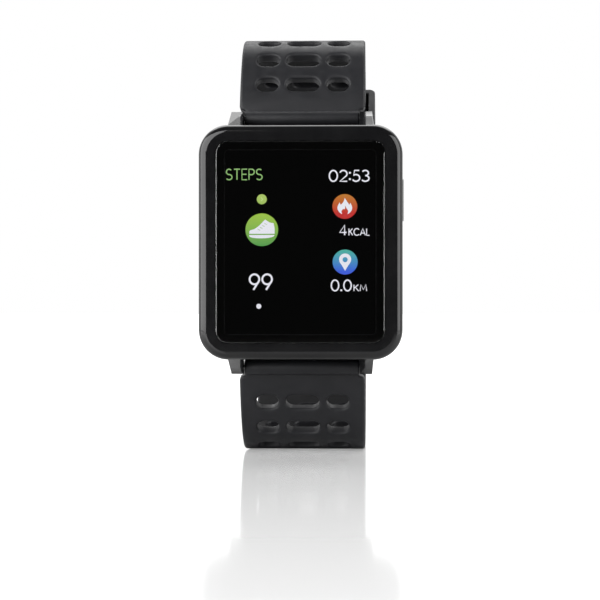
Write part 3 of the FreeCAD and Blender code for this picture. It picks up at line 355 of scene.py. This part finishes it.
def machined(node, body, edge=0.0):
    """Stands for a CAD node: its faces merged, its corners broken by edge millimetres."""
    slot = SLOT_OF[node]
    piece = bpy.data.objects.new(node + "_finished", frame["nodes"][node].data.copy())
    bpy.context.scene.collection.objects.link(piece)
    start_object(piece)
    bpy.ops.object.mode_set(mode="EDIT")
    bpy.ops.mesh.select_all(action="SELECT")
    bpy.ops.mesh.remove_doubles(threshold=WELD)
    bpy.ops.mesh.dissolve_limited(angle_limit=FLAT_ANGLE)
    leave_edit()
    if edge:
        broken = piece.modifiers.new("broken_corners", "BEVEL")
        broken.width = edge * MM
        broken.segments = 3
        broken.limit_method = "ANGLE"
        broken.angle_limit = CORNER_ANGLE
        apply_modifiers(piece)
    finish_piece(piece, node + "_finished", body, FINISHES[slot])
    piece.modifiers.new("flat_faces_stay_flat", "WEIGHTED_NORMAL").keep_sharp = True
    apply_modifiers(piece)
    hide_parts(node)


def finished_hardware():
    """The parts that show from outside, with smooth faces and broken corners."""
    machined("case_frame", "case", 0.06)
    machined("cover_glass", "case")
    machined("rear_cover", "case", 0.05)
    machined("sensor_window", "case")
    machined("side_button", "side_button", 0.08)
    machined("fixed_keeper", "upper_strap", 0.35)
    machined("free_keeper", "free_keeper", 0.35)
    machined("buckle_frame", "buckle", 0.15)
    machined("buckle_pin", "buckle", 0.1)
    machined("buckle_tang", "buckle_tang", 0.12)


def outline_curve(name, loops, half_thick, edge):
    """A flat filled curve with rounded rims; each loop is a list of points."""
    data = bpy.data.curves.new(name, "CURVE")
    data.dimensions = "2D"
    data.fill_mode = "BOTH"
    data.extrude = half_thick - edge
    data.bevel_depth = edge
    data.bevel_resolution = 3
    for loop in loops:
        spline = data.splines.new("POLY")
        spline.points.add(len(loop) - 1)
        for point, (x, y) in zip(spline.points, loop):
            point.co = (x, y, 0.0, 1.0)
        spline.use_cyclic_u = True
    obj = bpy.data.objects.new(name, data)
    bpy.context.scene.collection.objects.link(obj)
    start_object(obj)
    bpy.ops.object.convert(target="MESH")
    return bpy.context.view_layer.objects.active


def stadium(x, y, long, tall, steps=8):
    """Points round a slot that is long across the strap, clockwise."""
    radius = tall / 2
    reach = long / 2 - radius
    points = []
    for side, begin in ((1, 90), (-1, 270)):
        for i in range(steps + 1):
            turn = math.radians(begin - 180 * i / steps)
            across = y + side * reach
            points.append((x + radius * math.sin(turn), across + radius * math.cos(turn)))
    return points


# ---------------------------------------------------------------- strap


# The strap's sizes in millimetres and degrees, as in the part's source.
STRAP = {
    "width": 24.0, "thick": 2.1, "narrow": 0.016, "start_depth": 8.6, "start_reach": 25.35,
    "lean": 14.0, "front_bend": 28.0, "front_lean": 38.0, "top_bend": 11.0, "back_bend": 34.0,
    "rest": 17.0, "neck": 1.6, "neck_width": 21.8, "barrel": 1.5,
    "bar_depth": 8.0, "bar_reach": 23.65, "end_radius": 1.6, "end_gap": 0.4, "rise_bend": 4.5,
    "slot_tall": 2.8, "side_slot": 4.3, "middle_slot": 6.43, "web": 1.4, "first": 5.3,
    "pitch": 5.6, "tang_slot": 14, "slot_lean": 22.0, "tail_angle": 28.0, "tail_corner": 4.0,
    "top_slots": 9, "notch": 4.7, "edge": 0.5,
}
STRAP_HALF = STRAP["thick"] / 2
SHOULDER_STEP = 0.35                 # the strap widens over this length beyond its neck
SHOULDER_ROUND = 0.5
SHOULDER_BULGE = 0.15
RIM_STEP = 4                         # length between points on the strap's side
NOTCH_PAST_PIN = 0.8
LINE_STEP = 1.2
ARC_STEP = 4.0                       # degrees


class Route:
    """Middle line of the strap in the Y-Z plane, in millimetres behind the glass front and
    above the case middle, as lines and arcs; a positive turn bends towards the wrist."""

    def __init__(self, y, z, heading):
        self.y, self.z, self.heading = y, z, math.radians(heading)
        self.points = [(y, z)]
        self.stations = [(0.0, y, self.heading)]
        self.length = 0.0

    def step(self, length, turn):
        half = self.heading + turn / 2
        chord = length if abs(turn) < 1e-9 else length * math.sin(turn / 2) / (turn / 2)
        self.y += chord * math.sin(half)
        self.z += chord * math.cos(half)
        self.heading += turn
        self.length += length
        self.points.append((self.y, self.z))
        self.stations.append((self.length, self.y, self.heading))

    def line(self, length):
        count = max(1, round(length / LINE_STEP))
        for _ in range(count):
            self.step(length / count, 0.0)

    def arc(self, radius, degrees):
        turn = math.radians(degrees)
        length = radius * abs(turn)
        count = max(6, math.ceil(abs(degrees) / ARC_STEP))
        for _ in range(count):
            self.step(length / count, turn / count)

    def depth_at(self, distance):
        """Depth behind the glass front at this distance along the strap."""
        for (before, y, _), (after, next_y, _) in zip(self.stations, self.stations[1:]):
            if distance <= after:
                return y + (next_y - y) * (distance - before) / (after - before)
        return self.y


def front_route():
    lean = math.radians(STRAP["lean"])
    before = STRAP["neck"]
    y = STRAP["start_depth"] + math.cos(lean) * STRAP_HALF - math.sin(lean) * before
    z = STRAP["start_reach"] - math.sin(lean) * STRAP_HALF - math.cos(lean) * before
    route = Route(y, z, STRAP["lean"])
    route.line(before)
    route.arc(STRAP["front_bend"] - STRAP_HALF, STRAP["front_lean"] - STRAP["lean"])
    route.arc(STRAP["top_bend"] - STRAP_HALF, 90 - STRAP["front_lean"])
    return route


def upper_route(pin_z):
    route = front_route()
    route.arc(STRAP["back_bend"] - STRAP_HALF, 90)
    route.line(route.z - pin_z)
    return route


def lower_route():
    """Long half, worked out so that the tang falls in the middle of one of its slots."""
    route = front_route()
    low_bend = STRAP["back_bend"] - STRAP["rest"] - STRAP_HALF
    wrap = STRAP["end_radius"] + STRAP["end_gap"] + STRAP_HALF
    rise = math.acos(1 - wrap / (STRAP["rise_bend"] + wrap))
    to_slot = STRAP["rise_bend"] * rise + wrap * (rise - math.radians(STRAP["slot_lean"]))
    slot = STRAP["neck"] + STRAP["first"] + STRAP["tang_slot"] * STRAP["pitch"]
    centre_z = route.z - (STRAP["back_bend"] - STRAP_HALF)
    route.line(STRAP["rest"])
    route.arc(low_bend, 90)
    route.line(slot - to_slot - route.length)
    route.arc(STRAP["rise_bend"], -math.degrees(rise))
    route.arc(wrap, math.degrees(rise))
    pin_z = -route.z
    route.line(route.z + centre_z)
    route.arc(STRAP["back_bend"] - STRAP_HALF + wrap, 90 - STRAP["tail_angle"])
    return route, pin_z


def half_width(route, distance):
    narrowing = STRAP["narrow"] * max(0.0, route.depth_at(distance) - STRAP["start_depth"])
    return STRAP["width"] / 2 - narrowing


def strap_outline(route, edge, tail, notch):
    """Anticlockwise rim of the flattened strap, moved in by the rounding of its edge."""
    shoulder = STRAP["neck"] + edge
    neck = STRAP["neck_width"] / 2 - edge
    end = route.length - edge
    full = half_width(route, shoulder) - edge
    side = [(0.0, neck), (shoulder - SHOULDER_STEP, neck), (shoulder, full - SHOULDER_ROUND),
            (shoulder + SHOULDER_BULGE, full - SHOULDER_BULGE), (shoulder + SHOULDER_ROUND, full)]
    stop = end - (STRAP["tail_corner"] if tail else 0.0)
    count = int((stop - shoulder) / RIM_STEP)
    for i in range(1, count + 1):
        along = shoulder + (stop - shoulder) * i / count
        side.append((along, half_width(route, along) - edge))
    if tail:
        radius = STRAP["tail_corner"]
        wide = side[-1][1]
        for degrees in range(10, 91, 10):
            turn = math.radians(degrees)
            side.append((end - radius + radius * math.sin(turn),
                         wide - radius + radius * math.cos(turn)))
    if notch:
        half_notch = STRAP["notch"] / 2 + edge
        deep = end - STRAP["end_radius"] - NOTCH_PAST_PIN
        side += [(end, half_notch), (deep, half_notch)]
    return [(x, -y) for x, y in side] + side[::-1]


def strap_strip(name, route, rows, edge, tail, notch):
    """Flat strap with its slots, cut across for bending, then bent along its route."""
    loops = [strap_outline(route, edge, tail, notch)]
    side = STRAP["middle_slot"] / 2 + STRAP["web"] + STRAP["side_slot"] / 2
    slots = ((0.0, STRAP["middle_slot"]), (-side, STRAP["side_slot"]), (side, STRAP["side_slot"]))
    for row in range(rows):
        along = STRAP["neck"] + STRAP["first"] + row * STRAP["pitch"]
        for across, wide in slots:
            loops.append(stadium(along, across, wide + 2 * edge, STRAP["slot_tall"] + 2 * edge))
    strip = outline_curve(name, loops, STRAP_HALF, edge)
    bpy.ops.object.mode_set(mode="EDIT")
    for before, _, _ in route.stations[1:-1]:
        bpy.ops.mesh.select_all(action="SELECT")
        bpy.ops.mesh.bisect(plane_co=(before, 0, 0), plane_no=(1, 0, 0))
    bpy.ops.mesh.select_all(action="SELECT")
    bpy.ops.mesh.remove_doubles(threshold=0.001)
    leave_edit()
    strip.data.materials.append(RUBBER)
    strip.data.materials.append(STRAP_INSIDE_PAINTED_SHADE)
    # Faces on the inside of the loop get the darker copy of the rubber: painted shade.
    for face in strip.data.polygons:
        if face.normal.z < -FACING:
            face.material_index = 1
    strip.rotation_euler = (-math.pi / 2, 0, 0)
    apply_place(strip)

    data = bpy.data.curves.new(name + "_route", "CURVE")
    data.dimensions = "2D"
    spline = data.splines.new("POLY")
    spline.points.add(len(route.points) - 1)
    for point, (y, z) in zip(spline.points, route.points):
        point.co = (y, z, 0.0, 1.0)
    guide = bpy.data.objects.new(name + "_route", data)
    bpy.context.scene.collection.objects.link(guide)
    bend = strip.modifiers.new("bend", "CURVE")
    bend.object = guide
    bend.deform_axis = "POS_X"
    apply_modifiers(strip)
    bpy.data.objects.remove(guide)
    return strip


def to_watch(obj, mirror=False):
    """From the drawing plane in millimetres to the watch, upside down if mirrored."""
    upward = -1.0 if mirror else 1.0
    place = Matrix(((0, 0, MM, 0), (MM, 0, 0, GLASS_FRONT), (0, upward * MM, 0, CASE_MID),
                    (0, 0, 0, 1)))
    obj.data.transform(place)
    if mirror:
        obj.data.flip_normals()


def drawn_rod(radius, length, y, z, across=0.0):
    """A rod across the strap with rounded ends, in the drawing plane."""
    rim = 0.25
    bpy.ops.mesh.primitive_cylinder_add(vertices=48, radius=radius, depth=length,
                                        location=(y, z, across))
    rod = bpy.context.active_object
    rod.data.materials.append(RUBBER)
    apply_place(rod)
    pick_faces(rod, lambda face: abs(face.normal.z) > FACING)
    bpy.ops.mesh.bevel(offset=rim, segments=4, affect="EDGES")
    leave_edit()
    return rod


def strap_halves():
    """Both halves of the strap, each with the rod that holds its spring bar."""
    long_route, pin_z = lower_route()
    short_route = upper_route(pin_z)
    edge = STRAP["edge"]
    rows = int((long_route.length - STRAP["neck"] - STRAP["first"]) / STRAP["pitch"])
    root = dict(radius=STRAP["barrel"], length=STRAP["neck_width"], y=STRAP["bar_depth"],
                z=STRAP["bar_reach"])

    upper = strap_strip("upper_half", short_route, STRAP["top_slots"], edge, False, True)
    end_width = 2 * half_width(short_route, short_route.length)
    piece = (end_width - STRAP["notch"]) / 2
    ends = [drawn_rod(STRAP["end_radius"], piece, short_route.y, pin_z,
                      side * (STRAP["notch"] + piece) / 2) for side in (-1, 1)]
    join(upper, [drawn_rod(**root)] + ends)
    to_watch(upper)
    finish_piece(upper, "upper_strap_rubber", "upper_strap", None)
    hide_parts("upper_strap")

    lower = strap_strip("lower_half", long_route, rows, edge, True, False)
    join(lower, [drawn_rod(**root)])
    to_watch(lower, mirror=True)
    finish_piece(lower, "lower_strap_rubber", "lower_strap", None)
    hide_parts("lower_strap")


# ---------------------------------------------------------------- display graphics


LETTER_GAP = 0.19                    # in cap heights
INK_THICKNESS = 0.02


def on_display(obj, x, z, lift):
    """Moves flat art drawn in its own X-Y plane, in millimetres, to its place on the display."""
    place = Matrix(((MM, 0, 0, x * MM), (0, 0, -MM, GLASS_HIGH.y - lift * MM),
                    (0, MM, 0, CASE_MID + z * MM), (0, 0, 0, 1)))
    obj.data.transform(place)


def bow(x, y, wide, tall, begin, end):
    """Points along part of an ellipse, between two angles in degrees."""
    count = max(4, round(abs(end - begin) / 12))
    turns = [math.radians(begin + (end - begin) * i / count) for i in range(count + 1)]
    return [(x + wide * math.cos(turn), y + tall * math.sin(turn)) for turn in turns]


# Letters drawn with a round pen: advance width, then strokes, for a cap height of 1.
LETTERS = {
    "0": (0.66, [bow(0.33, 0.5, 0.33, 0.5, 90, 450)]),
    "2": (0.62, [bow(0.31, 0.69, 0.3, 0.31, 160, -38) + [(0.02, 0.0), (0.62, 0.0)]]),
    "3": (0.58, [bow(0.27, 0.76, 0.26, 0.24, 150, -90), bow(0.27, 0.26, 0.31, 0.26, 90, -150)]),
    "4": (0.62, [[(0.45, 0.0), (0.45, 1.0), (0.0, 0.27), (0.62, 0.27)]]),
    "5": (0.58, [[(0.54, 1.0), (0.16, 1.0), (0.07, 0.54)]
                 + bow(0.27, 0.31, 0.31, 0.31, 128, -150)]),
    "9": (0.68, [bow(0.34, 0.68, 0.33, 0.32, 0, 360), [(0.64, 0.56), (0.27, 0.0)]]),
    "S": (0.58, [bow(0.29, 0.75, 0.26, 0.25, 38, 270) + bow(0.29, 0.25, 0.29, 0.25, 90, -145)]),
    "T": (0.6, [[(0.0, 1.0), (0.6, 1.0)], [(0.3, 1.0), (0.3, 0.0)]]),
    "E": (0.5, [[(0.5, 1.0), (0.0, 1.0), (0.0, 0.0), (0.5, 0.0)], [(0.0, 0.52), (0.45, 0.52)]]),
    "P": (0.52, [[(0.0, 0.0), (0.0, 1.0), (0.25, 1.0)] + bow(0.26, 0.74, 0.26, 0.26, 90, -90)
                 + [(0.0, 0.48)]]),
    "K": (0.58, [[(0.0, 0.0), (0.0, 1.0)], [(0.55, 1.0), (0.02, 0.45)],
                 [(0.18, 0.6), (0.58, 0.0)]]),
    "C": (0.78, [bow(0.45, 0.5, 0.45, 0.5, 42, 318)]),
    "A": (0.8, [[(0.0, 0.0), (0.4, 1.0), (0.8, 0.0)], [(0.14, 0.33), (0.66, 0.33)]]),
    "L": (0.45, [[(0.0, 1.0), (0.0, 0.0), (0.45, 0.0)]]),
    "M": (0.84, [[(0.0, 0.0), (0.1, 1.0), (0.42, 0.2), (0.74, 1.0), (0.84, 0.0)]]),
    ":": (0.08, [bow(0.04, 0.2, 0.03, 0.03, 0, 360), bow(0.04, 0.78, 0.03, 0.03, 0, 360)]),
    ".": (0.08, [bow(0.04, 0.05, 0.03, 0.03, 0, 360)]),
}


def pen_strokes(name, strokes, pen, x, z, material, lift=0.04):
    """Round-pen strokes, in millimetres, pressed flat onto the display."""
    data = bpy.data.curves.new(name, "CURVE")
    data.dimensions = "3D"
    data.bevel_depth = pen / 2
    data.bevel_resolution = 2
    data.use_fill_caps = True
    for stroke in strokes:
        closed = math.dist(stroke[0], stroke[-1]) < 1e-6
        points = stroke[:-1] if closed else stroke
        spline = data.splines.new("POLY")
        spline.points.add(len(points) - 1)
        for point, (u, v) in zip(spline.points, points):
            point.co = (u, v, 0.0, 1.0)
        spline.use_cyclic_u = closed
    obj = bpy.data.objects.new(name, data)
    bpy.context.scene.collection.objects.link(obj)
    start_object(obj)
    bpy.ops.object.convert(target="MESH")
    obj = bpy.context.active_object
    obj.data.transform(Matrix.Diagonal((1.0, 1.0, INK_THICKNESS / pen, 1.0)))
    on_display(obj, x, z, lift)
    finish_piece(obj, name, "case", material)


def label(name, text, x, z, width, height, pen, material):
    """Words on the display: left edge, baseline, width, height and pen in millimetres."""
    strokes = []
    along = 0.0
    for letter in text:
        advance, drawn = LETTERS[letter]
        strokes += [[(along + u, v) for u, v in stroke] for stroke in drawn]
        along += advance + LETTER_GAP
    across = (width - pen) / (along - LETTER_GAP)
    upright = height - pen
    strokes = [[(pen / 2 + u * across, pen / 2 + v * upright) for u, v in stroke]
               for stroke in strokes]
    pen_strokes(name, strokes, pen, x, z, material)


def disc(name, x, z, radius, material, lift=0.03):
    bpy.ops.mesh.primitive_circle_add(vertices=64, radius=radius, fill_type="NGON")
    spot = bpy.context.active_object
    on_display(spot, x, z, lift)
    finish_piece(spot, name, "case", material)


def icon(name, x, z, points, material, lift=0.05):
    """A flat smooth shape through a few points round the middle."""
    data = bpy.data.curves.new(name, "CURVE")
    data.dimensions = "2D"
    data.fill_mode = "BOTH"
    spline = data.splines.new("BEZIER")
    spline.bezier_points.add(len(points) - 1)
    for point, (u, v, sharp) in zip(spline.bezier_points, points):
        point.co = (u, v, 0.0)
        kind = "VECTOR" if sharp else "AUTO"
        point.handle_left_type = kind
        point.handle_right_type = kind
    spline.use_cyclic_u = True
    obj = bpy.data.objects.new(name, data)
    bpy.context.scene.collection.objects.link(obj)
    start_object(obj)
    bpy.ops.object.convert(target="MESH")
    obj = bpy.context.active_object
    on_display(obj, x, z, lift)
    finish_piece(obj, name, "case", material)


# Icons: each point is across, up and whether it is a sharp corner, in millimetres from the
# middle of the icon's badge.
SHOE = [(-2.35, -0.75, True), (-2.3, -0.25, False), (-1.4, 0.15, False), (-0.6, 0.7, False),
        (0.15, 1.45, False), (0.65, 1.95, True), (1.1, 1.6, False), (1.55, 1.35, False),
        (2.2, 1.25, True), (2.4, 0.3, False), (2.4, -0.75, True)]
SOLE = [(-2.4, -0.98, True), (-2.25, -1.32, False), (2.1, -1.32, False), (2.42, -0.98, True)]
FLAME = [(0.0, 1.6, True), (0.4, 0.95, False), (0.85, 0.3, True), (1.05, 0.7, True),
         (1.38, -0.3, False), (1.1, -1.0, False), (0.62, -1.4, True), (-0.62, -1.4, True),
         (-1.1, -1.0, False), (-1.38, -0.25, False), (-1.0, 0.75, True), (-0.75, 0.3, True),
         (-0.3, 0.8, False)]
EMBER = [(0.1, 0.15, True), (0.35, -0.4, False), (0.62, -0.85, False), (0.5, -1.45, True),
         (-0.5, -1.45, True), (-0.6, -0.85, False), (-0.3, -0.45, True), (-0.1, -0.55, False)]
PIN = [(0.0, -1.65, True), (0.55, -0.7, False), (1.1, 0.25, False), (0.95, 1.1, False),
       (0.0, 1.6, False), (-0.95, 1.1, False), (-1.1, 0.25, False), (-0.55, -0.7, False)]


def top_line(white):
    """The word at the left and the time at the right."""
    lime = glow("lime_dots", (0.27, 0.5, 0.16), (0.24, 0.46, 0.14), 11, 14)
    label("word_steps", "STEPS", -14.04, 11.61, 7.0, 2.2, 0.22, lime)
    label("time_digits", "02:53", 5.34, 11.25, 7.7, 2.3, 0.27, white)


def steps_column(white):
    """Left side, below the word: a marker, the shoe on its badge, the count and the page dot."""
    chevron = glow("chevron_dots", (0.42, 0.58, 0.12), (0.34, 0.52, 0.1), 7, 9)
    pale = glow("pale_lime_dots", (0.66, 0.8, 0.4), (0.6, 0.76, 0.36), 7, 9)
    green = glow("green_dots", (0.34, 0.55, 0.05), (0.07, 0.31, 0.06), -0.8, 5.4)
    middle = -7.21
    marker_z = 8.05
    badge_z = 2.32
    arrow = [(-0.14, 0.3), (0.2, 0.0), (-0.14, -0.3)]
    laces = [[(-0.75 + 0.42 * i, 0.1 + 0.36 * i), (-0.3 + 0.42 * i, -0.12 + 0.36 * i)]
             for i in range(4)]
    disc("step_marker", middle, marker_z, 0.94, chevron)
    pen_strokes("step_arrow", [arrow], 0.14, middle, marker_z, pale, lift=0.06)
    disc("step_badge", middle, badge_z, 3.07, green)
    icon("shoe_upper", middle, badge_z, SHOE, white)
    icon("shoe_sole", middle, badge_z, SOLE, white)
    pen_strokes("shoe_laces", laces, 0.09, middle, badge_z, green, lift=0.08)
    label("step_count", "99", -9.7, -9.14, 4.6, 3.28, 0.36, white)
    disc("page_dot", -7.77, -12.04, 0.47, white)


def energy_lines(white):
    """Right side, below the time: the flame on its badge and the energy used."""
    orange = glow("orange_dots", (0.5, 0.17, 0.01), (0.52, 0.012, 0.01), 5.4, 8.8)
    middle = 8.37
    badge_z = 6.67
    baseline = 1.16
    disc("energy_badge", middle, badge_z, 2.32, orange)
    icon("flame_icon", middle, badge_z, FLAME, white)
    icon("flame_heart", middle, badge_z, EMBER, orange, lift=0.07)
    label("energy_digit", "4", 7.28, baseline, 1.55, 2.15, 0.27, white)
    label("energy_unit", "KCAL", 9.05, baseline, 4.05, 1.46, 0.19, white)


def distance_lines(white):
    """Right side, at the bottom: the map pin on its badge and the distance walked."""
    blue = glow("blue_dots", (0.06, 0.42, 0.34), (0.03, 0.09, 0.68), -5.6, -1.6)
    middle = 8.43
    badge_z = -3.75
    eye_z = -3.3
    baseline = -9.27
    disc("distance_badge", middle, badge_z, 2.34, blue)
    icon("pin_icon", middle, badge_z, PIN, white)
    disc("pin_eye", middle, eye_z, 0.48, blue, lift=0.07)
    label("distance_digits", "0.0", 5.71, baseline, 4.0, 2.28, 0.27, white)
    label("distance_unit", "KM", 10.0, baseline, 2.55, 1.38, 0.18, white)


def display_art():
    """Everything lit on the display."""
    white = glow("white_dots", (0.83, 0.83, 0.9), (0.78, 0.78, 0.85), -15, 15)
    top_line(white)
    steps_column(white)
    energy_lines(white)
    distance_lines(white)


# ---------------------------------------------------------------- studio


WHITE = (1.0, 1.0, 1.0, 1.0)
# Light from all round: how far back its direction points, and how strong it is there.
FRONT_AIR = (-0.1, 0.05)
BACK_AIR = (0.6, 0.9)
FLOOR_SIZE = 6.0
FLOOR_MIDDLE = (0, 1.5, -0.0002)
FLOOR_GREY = 0.45
# Painted light on the floor: it glows, weakly near the watch and strongly far away; distance from
# the watch in metres, and brightness there.
NEAR_PAINTED_GLOW = (0.1, 0.3)
FAR_PAINTED_GLOW = (0.9, 0.9)
# Lamps: name, place, width and height in metres, and watts.
SOFTBOXES = (
    ("left_strip", (-0.42, -0.30, 0.24), 1.0, 0.5, 6.5),
    ("right_strip", (0.5, -0.2, 0.24), 0.5, 0.5, 2.6),
    ("overhead", (0.0, 0.42, 0.7), 0.9, 0.5, 4.0),
)
CAMERA_TURN = math.radians(2.7)
CAMERA_DISTANCE = 0.45
CAMERA_BELOW = 10.86 * MM
SENSOR_WIDTH = 36.0
LENS = 144.2


def studio_air():
    """White behind everything; the light that falls is weak in front and strong behind."""
    world = bpy.data.worlds.new("studio_air")
    bpy.context.scene.world = world
    world.use_nodes = True
    tree = world.node_tree
    tree.nodes.clear()
    output = tree.nodes.new("ShaderNodeOutputWorld")
    mix = tree.nodes.new("ShaderNodeMixShader")
    path = tree.nodes.new("ShaderNodeLightPath")
    seen = tree.nodes.new("ShaderNodeBackground")
    felt = tree.nodes.new("ShaderNodeBackground")
    seen.inputs["Color"].default_value = WHITE
    seen.inputs["Strength"].default_value = 1.0
    felt.inputs["Color"].default_value = WHITE
    around = tree.nodes.new("ShaderNodeTexCoord")
    split = tree.nodes.new("ShaderNodeSeparateXYZ")
    share = tree.nodes.new("ShaderNodeMapRange")
    for word, (direction, strength) in (("Min", FRONT_AIR), ("Max", BACK_AIR)):
        share.inputs["From " + word].default_value = direction
        share.inputs["To " + word].default_value = strength
    tree.links.new(around.outputs["Generated"], split.inputs[0])
    tree.links.new(split.outputs["Y"], share.inputs["Value"])
    tree.links.new(share.outputs[0], felt.inputs["Strength"])
    tree.links.new(path.outputs["Is Camera Ray"], mix.inputs[0])
    tree.links.new(felt.outputs[0], mix.inputs[1])
    tree.links.new(seen.outputs[0], mix.inputs[2])
    tree.links.new(mix.outputs[0], output.inputs[0])


def studio_floor():
    """Pale sheet that mirrors the watch faintly, with painted light: it glows, dim near the watch
    and brighter away from it.
    """
    bpy.ops.mesh.primitive_plane_add(size=FLOOR_SIZE, location=FLOOR_MIDDLE)
    floor = bpy.context.active_object
    floor.name = "studio_floor"
    apply_place(floor)
    finish = Finish("studio_floor", base_color=(FLOOR_GREY,) * 3, roughness=0.08,
                    specular_ior_level=0.5, emission_strength=1.0)
    reach = finish.node("ShaderNodeVectorMath", {"operation": "LENGTH"}, {0: finish.place()},
                        output=1)
    (near, dim), (far, bright) = NEAR_PAINTED_GLOW, FAR_PAINTED_GLOW
    # Painted light: the floor's emission, dim near the watch and bright far from it.
    finish.set("Emission Color", finish.ramp(reach, dim, bright, near, far))
    floor.data.materials.append(finish.material)
    only_floor = bpy.data.collections.new("only_floor")
    only_floor.objects.link(floor)
    floor.light_linking.receiver_collection = only_floor


def softbox(name, place, width, height, power):
    """A rectangular lamp that points at the middle of the case and isn't seen itself."""
    data = bpy.data.lights.new(name, "AREA")
    data.shape = "RECTANGLE"
    data.size = width
    data.size_y = height
    data.energy = power
    lamp = bpy.data.objects.new(name, data)
    bpy.context.scene.collection.objects.link(lamp)
    lamp.location = place
    lamp.visible_camera = False
    direction = Vector((0.0, 0.0, CASE_MID)) - Vector(place)
    lamp.rotation_euler = direction.to_track_quat("-Z", "Y").to_euler()


def studio():
    studio_air()
    studio_floor()
    for lamp in SOFTBOXES:
        softbox(*lamp)
    bpy.context.scene.view_settings.view_transform = "Standard"


def camera():
    """Long lens, level, a little right of the watch and just below the case's middle."""
    data = bpy.data.cameras.new("front_camera")
    data.sensor_width = SENSOR_WIDTH
    data.lens = LENS
    data.clip_start = 0.01
    eye = bpy.data.objects.new("front_camera", data)
    bpy.context.scene.collection.objects.link(eye)
    eye.location = (CAMERA_DISTANCE * math.sin(CAMERA_TURN),
                    GLASS_FRONT - CAMERA_DISTANCE * math.cos(CAMERA_TURN),
                    CASE_MID - CAMERA_BELOW)
    eye.rotation_euler = (math.pi / 2, 0.0, CAMERA_TURN)
    bpy.context.scene.camera = eye


camera()
dress_cad_nodes()
finished_hardware()
strap_halves()
display_art()
studio()
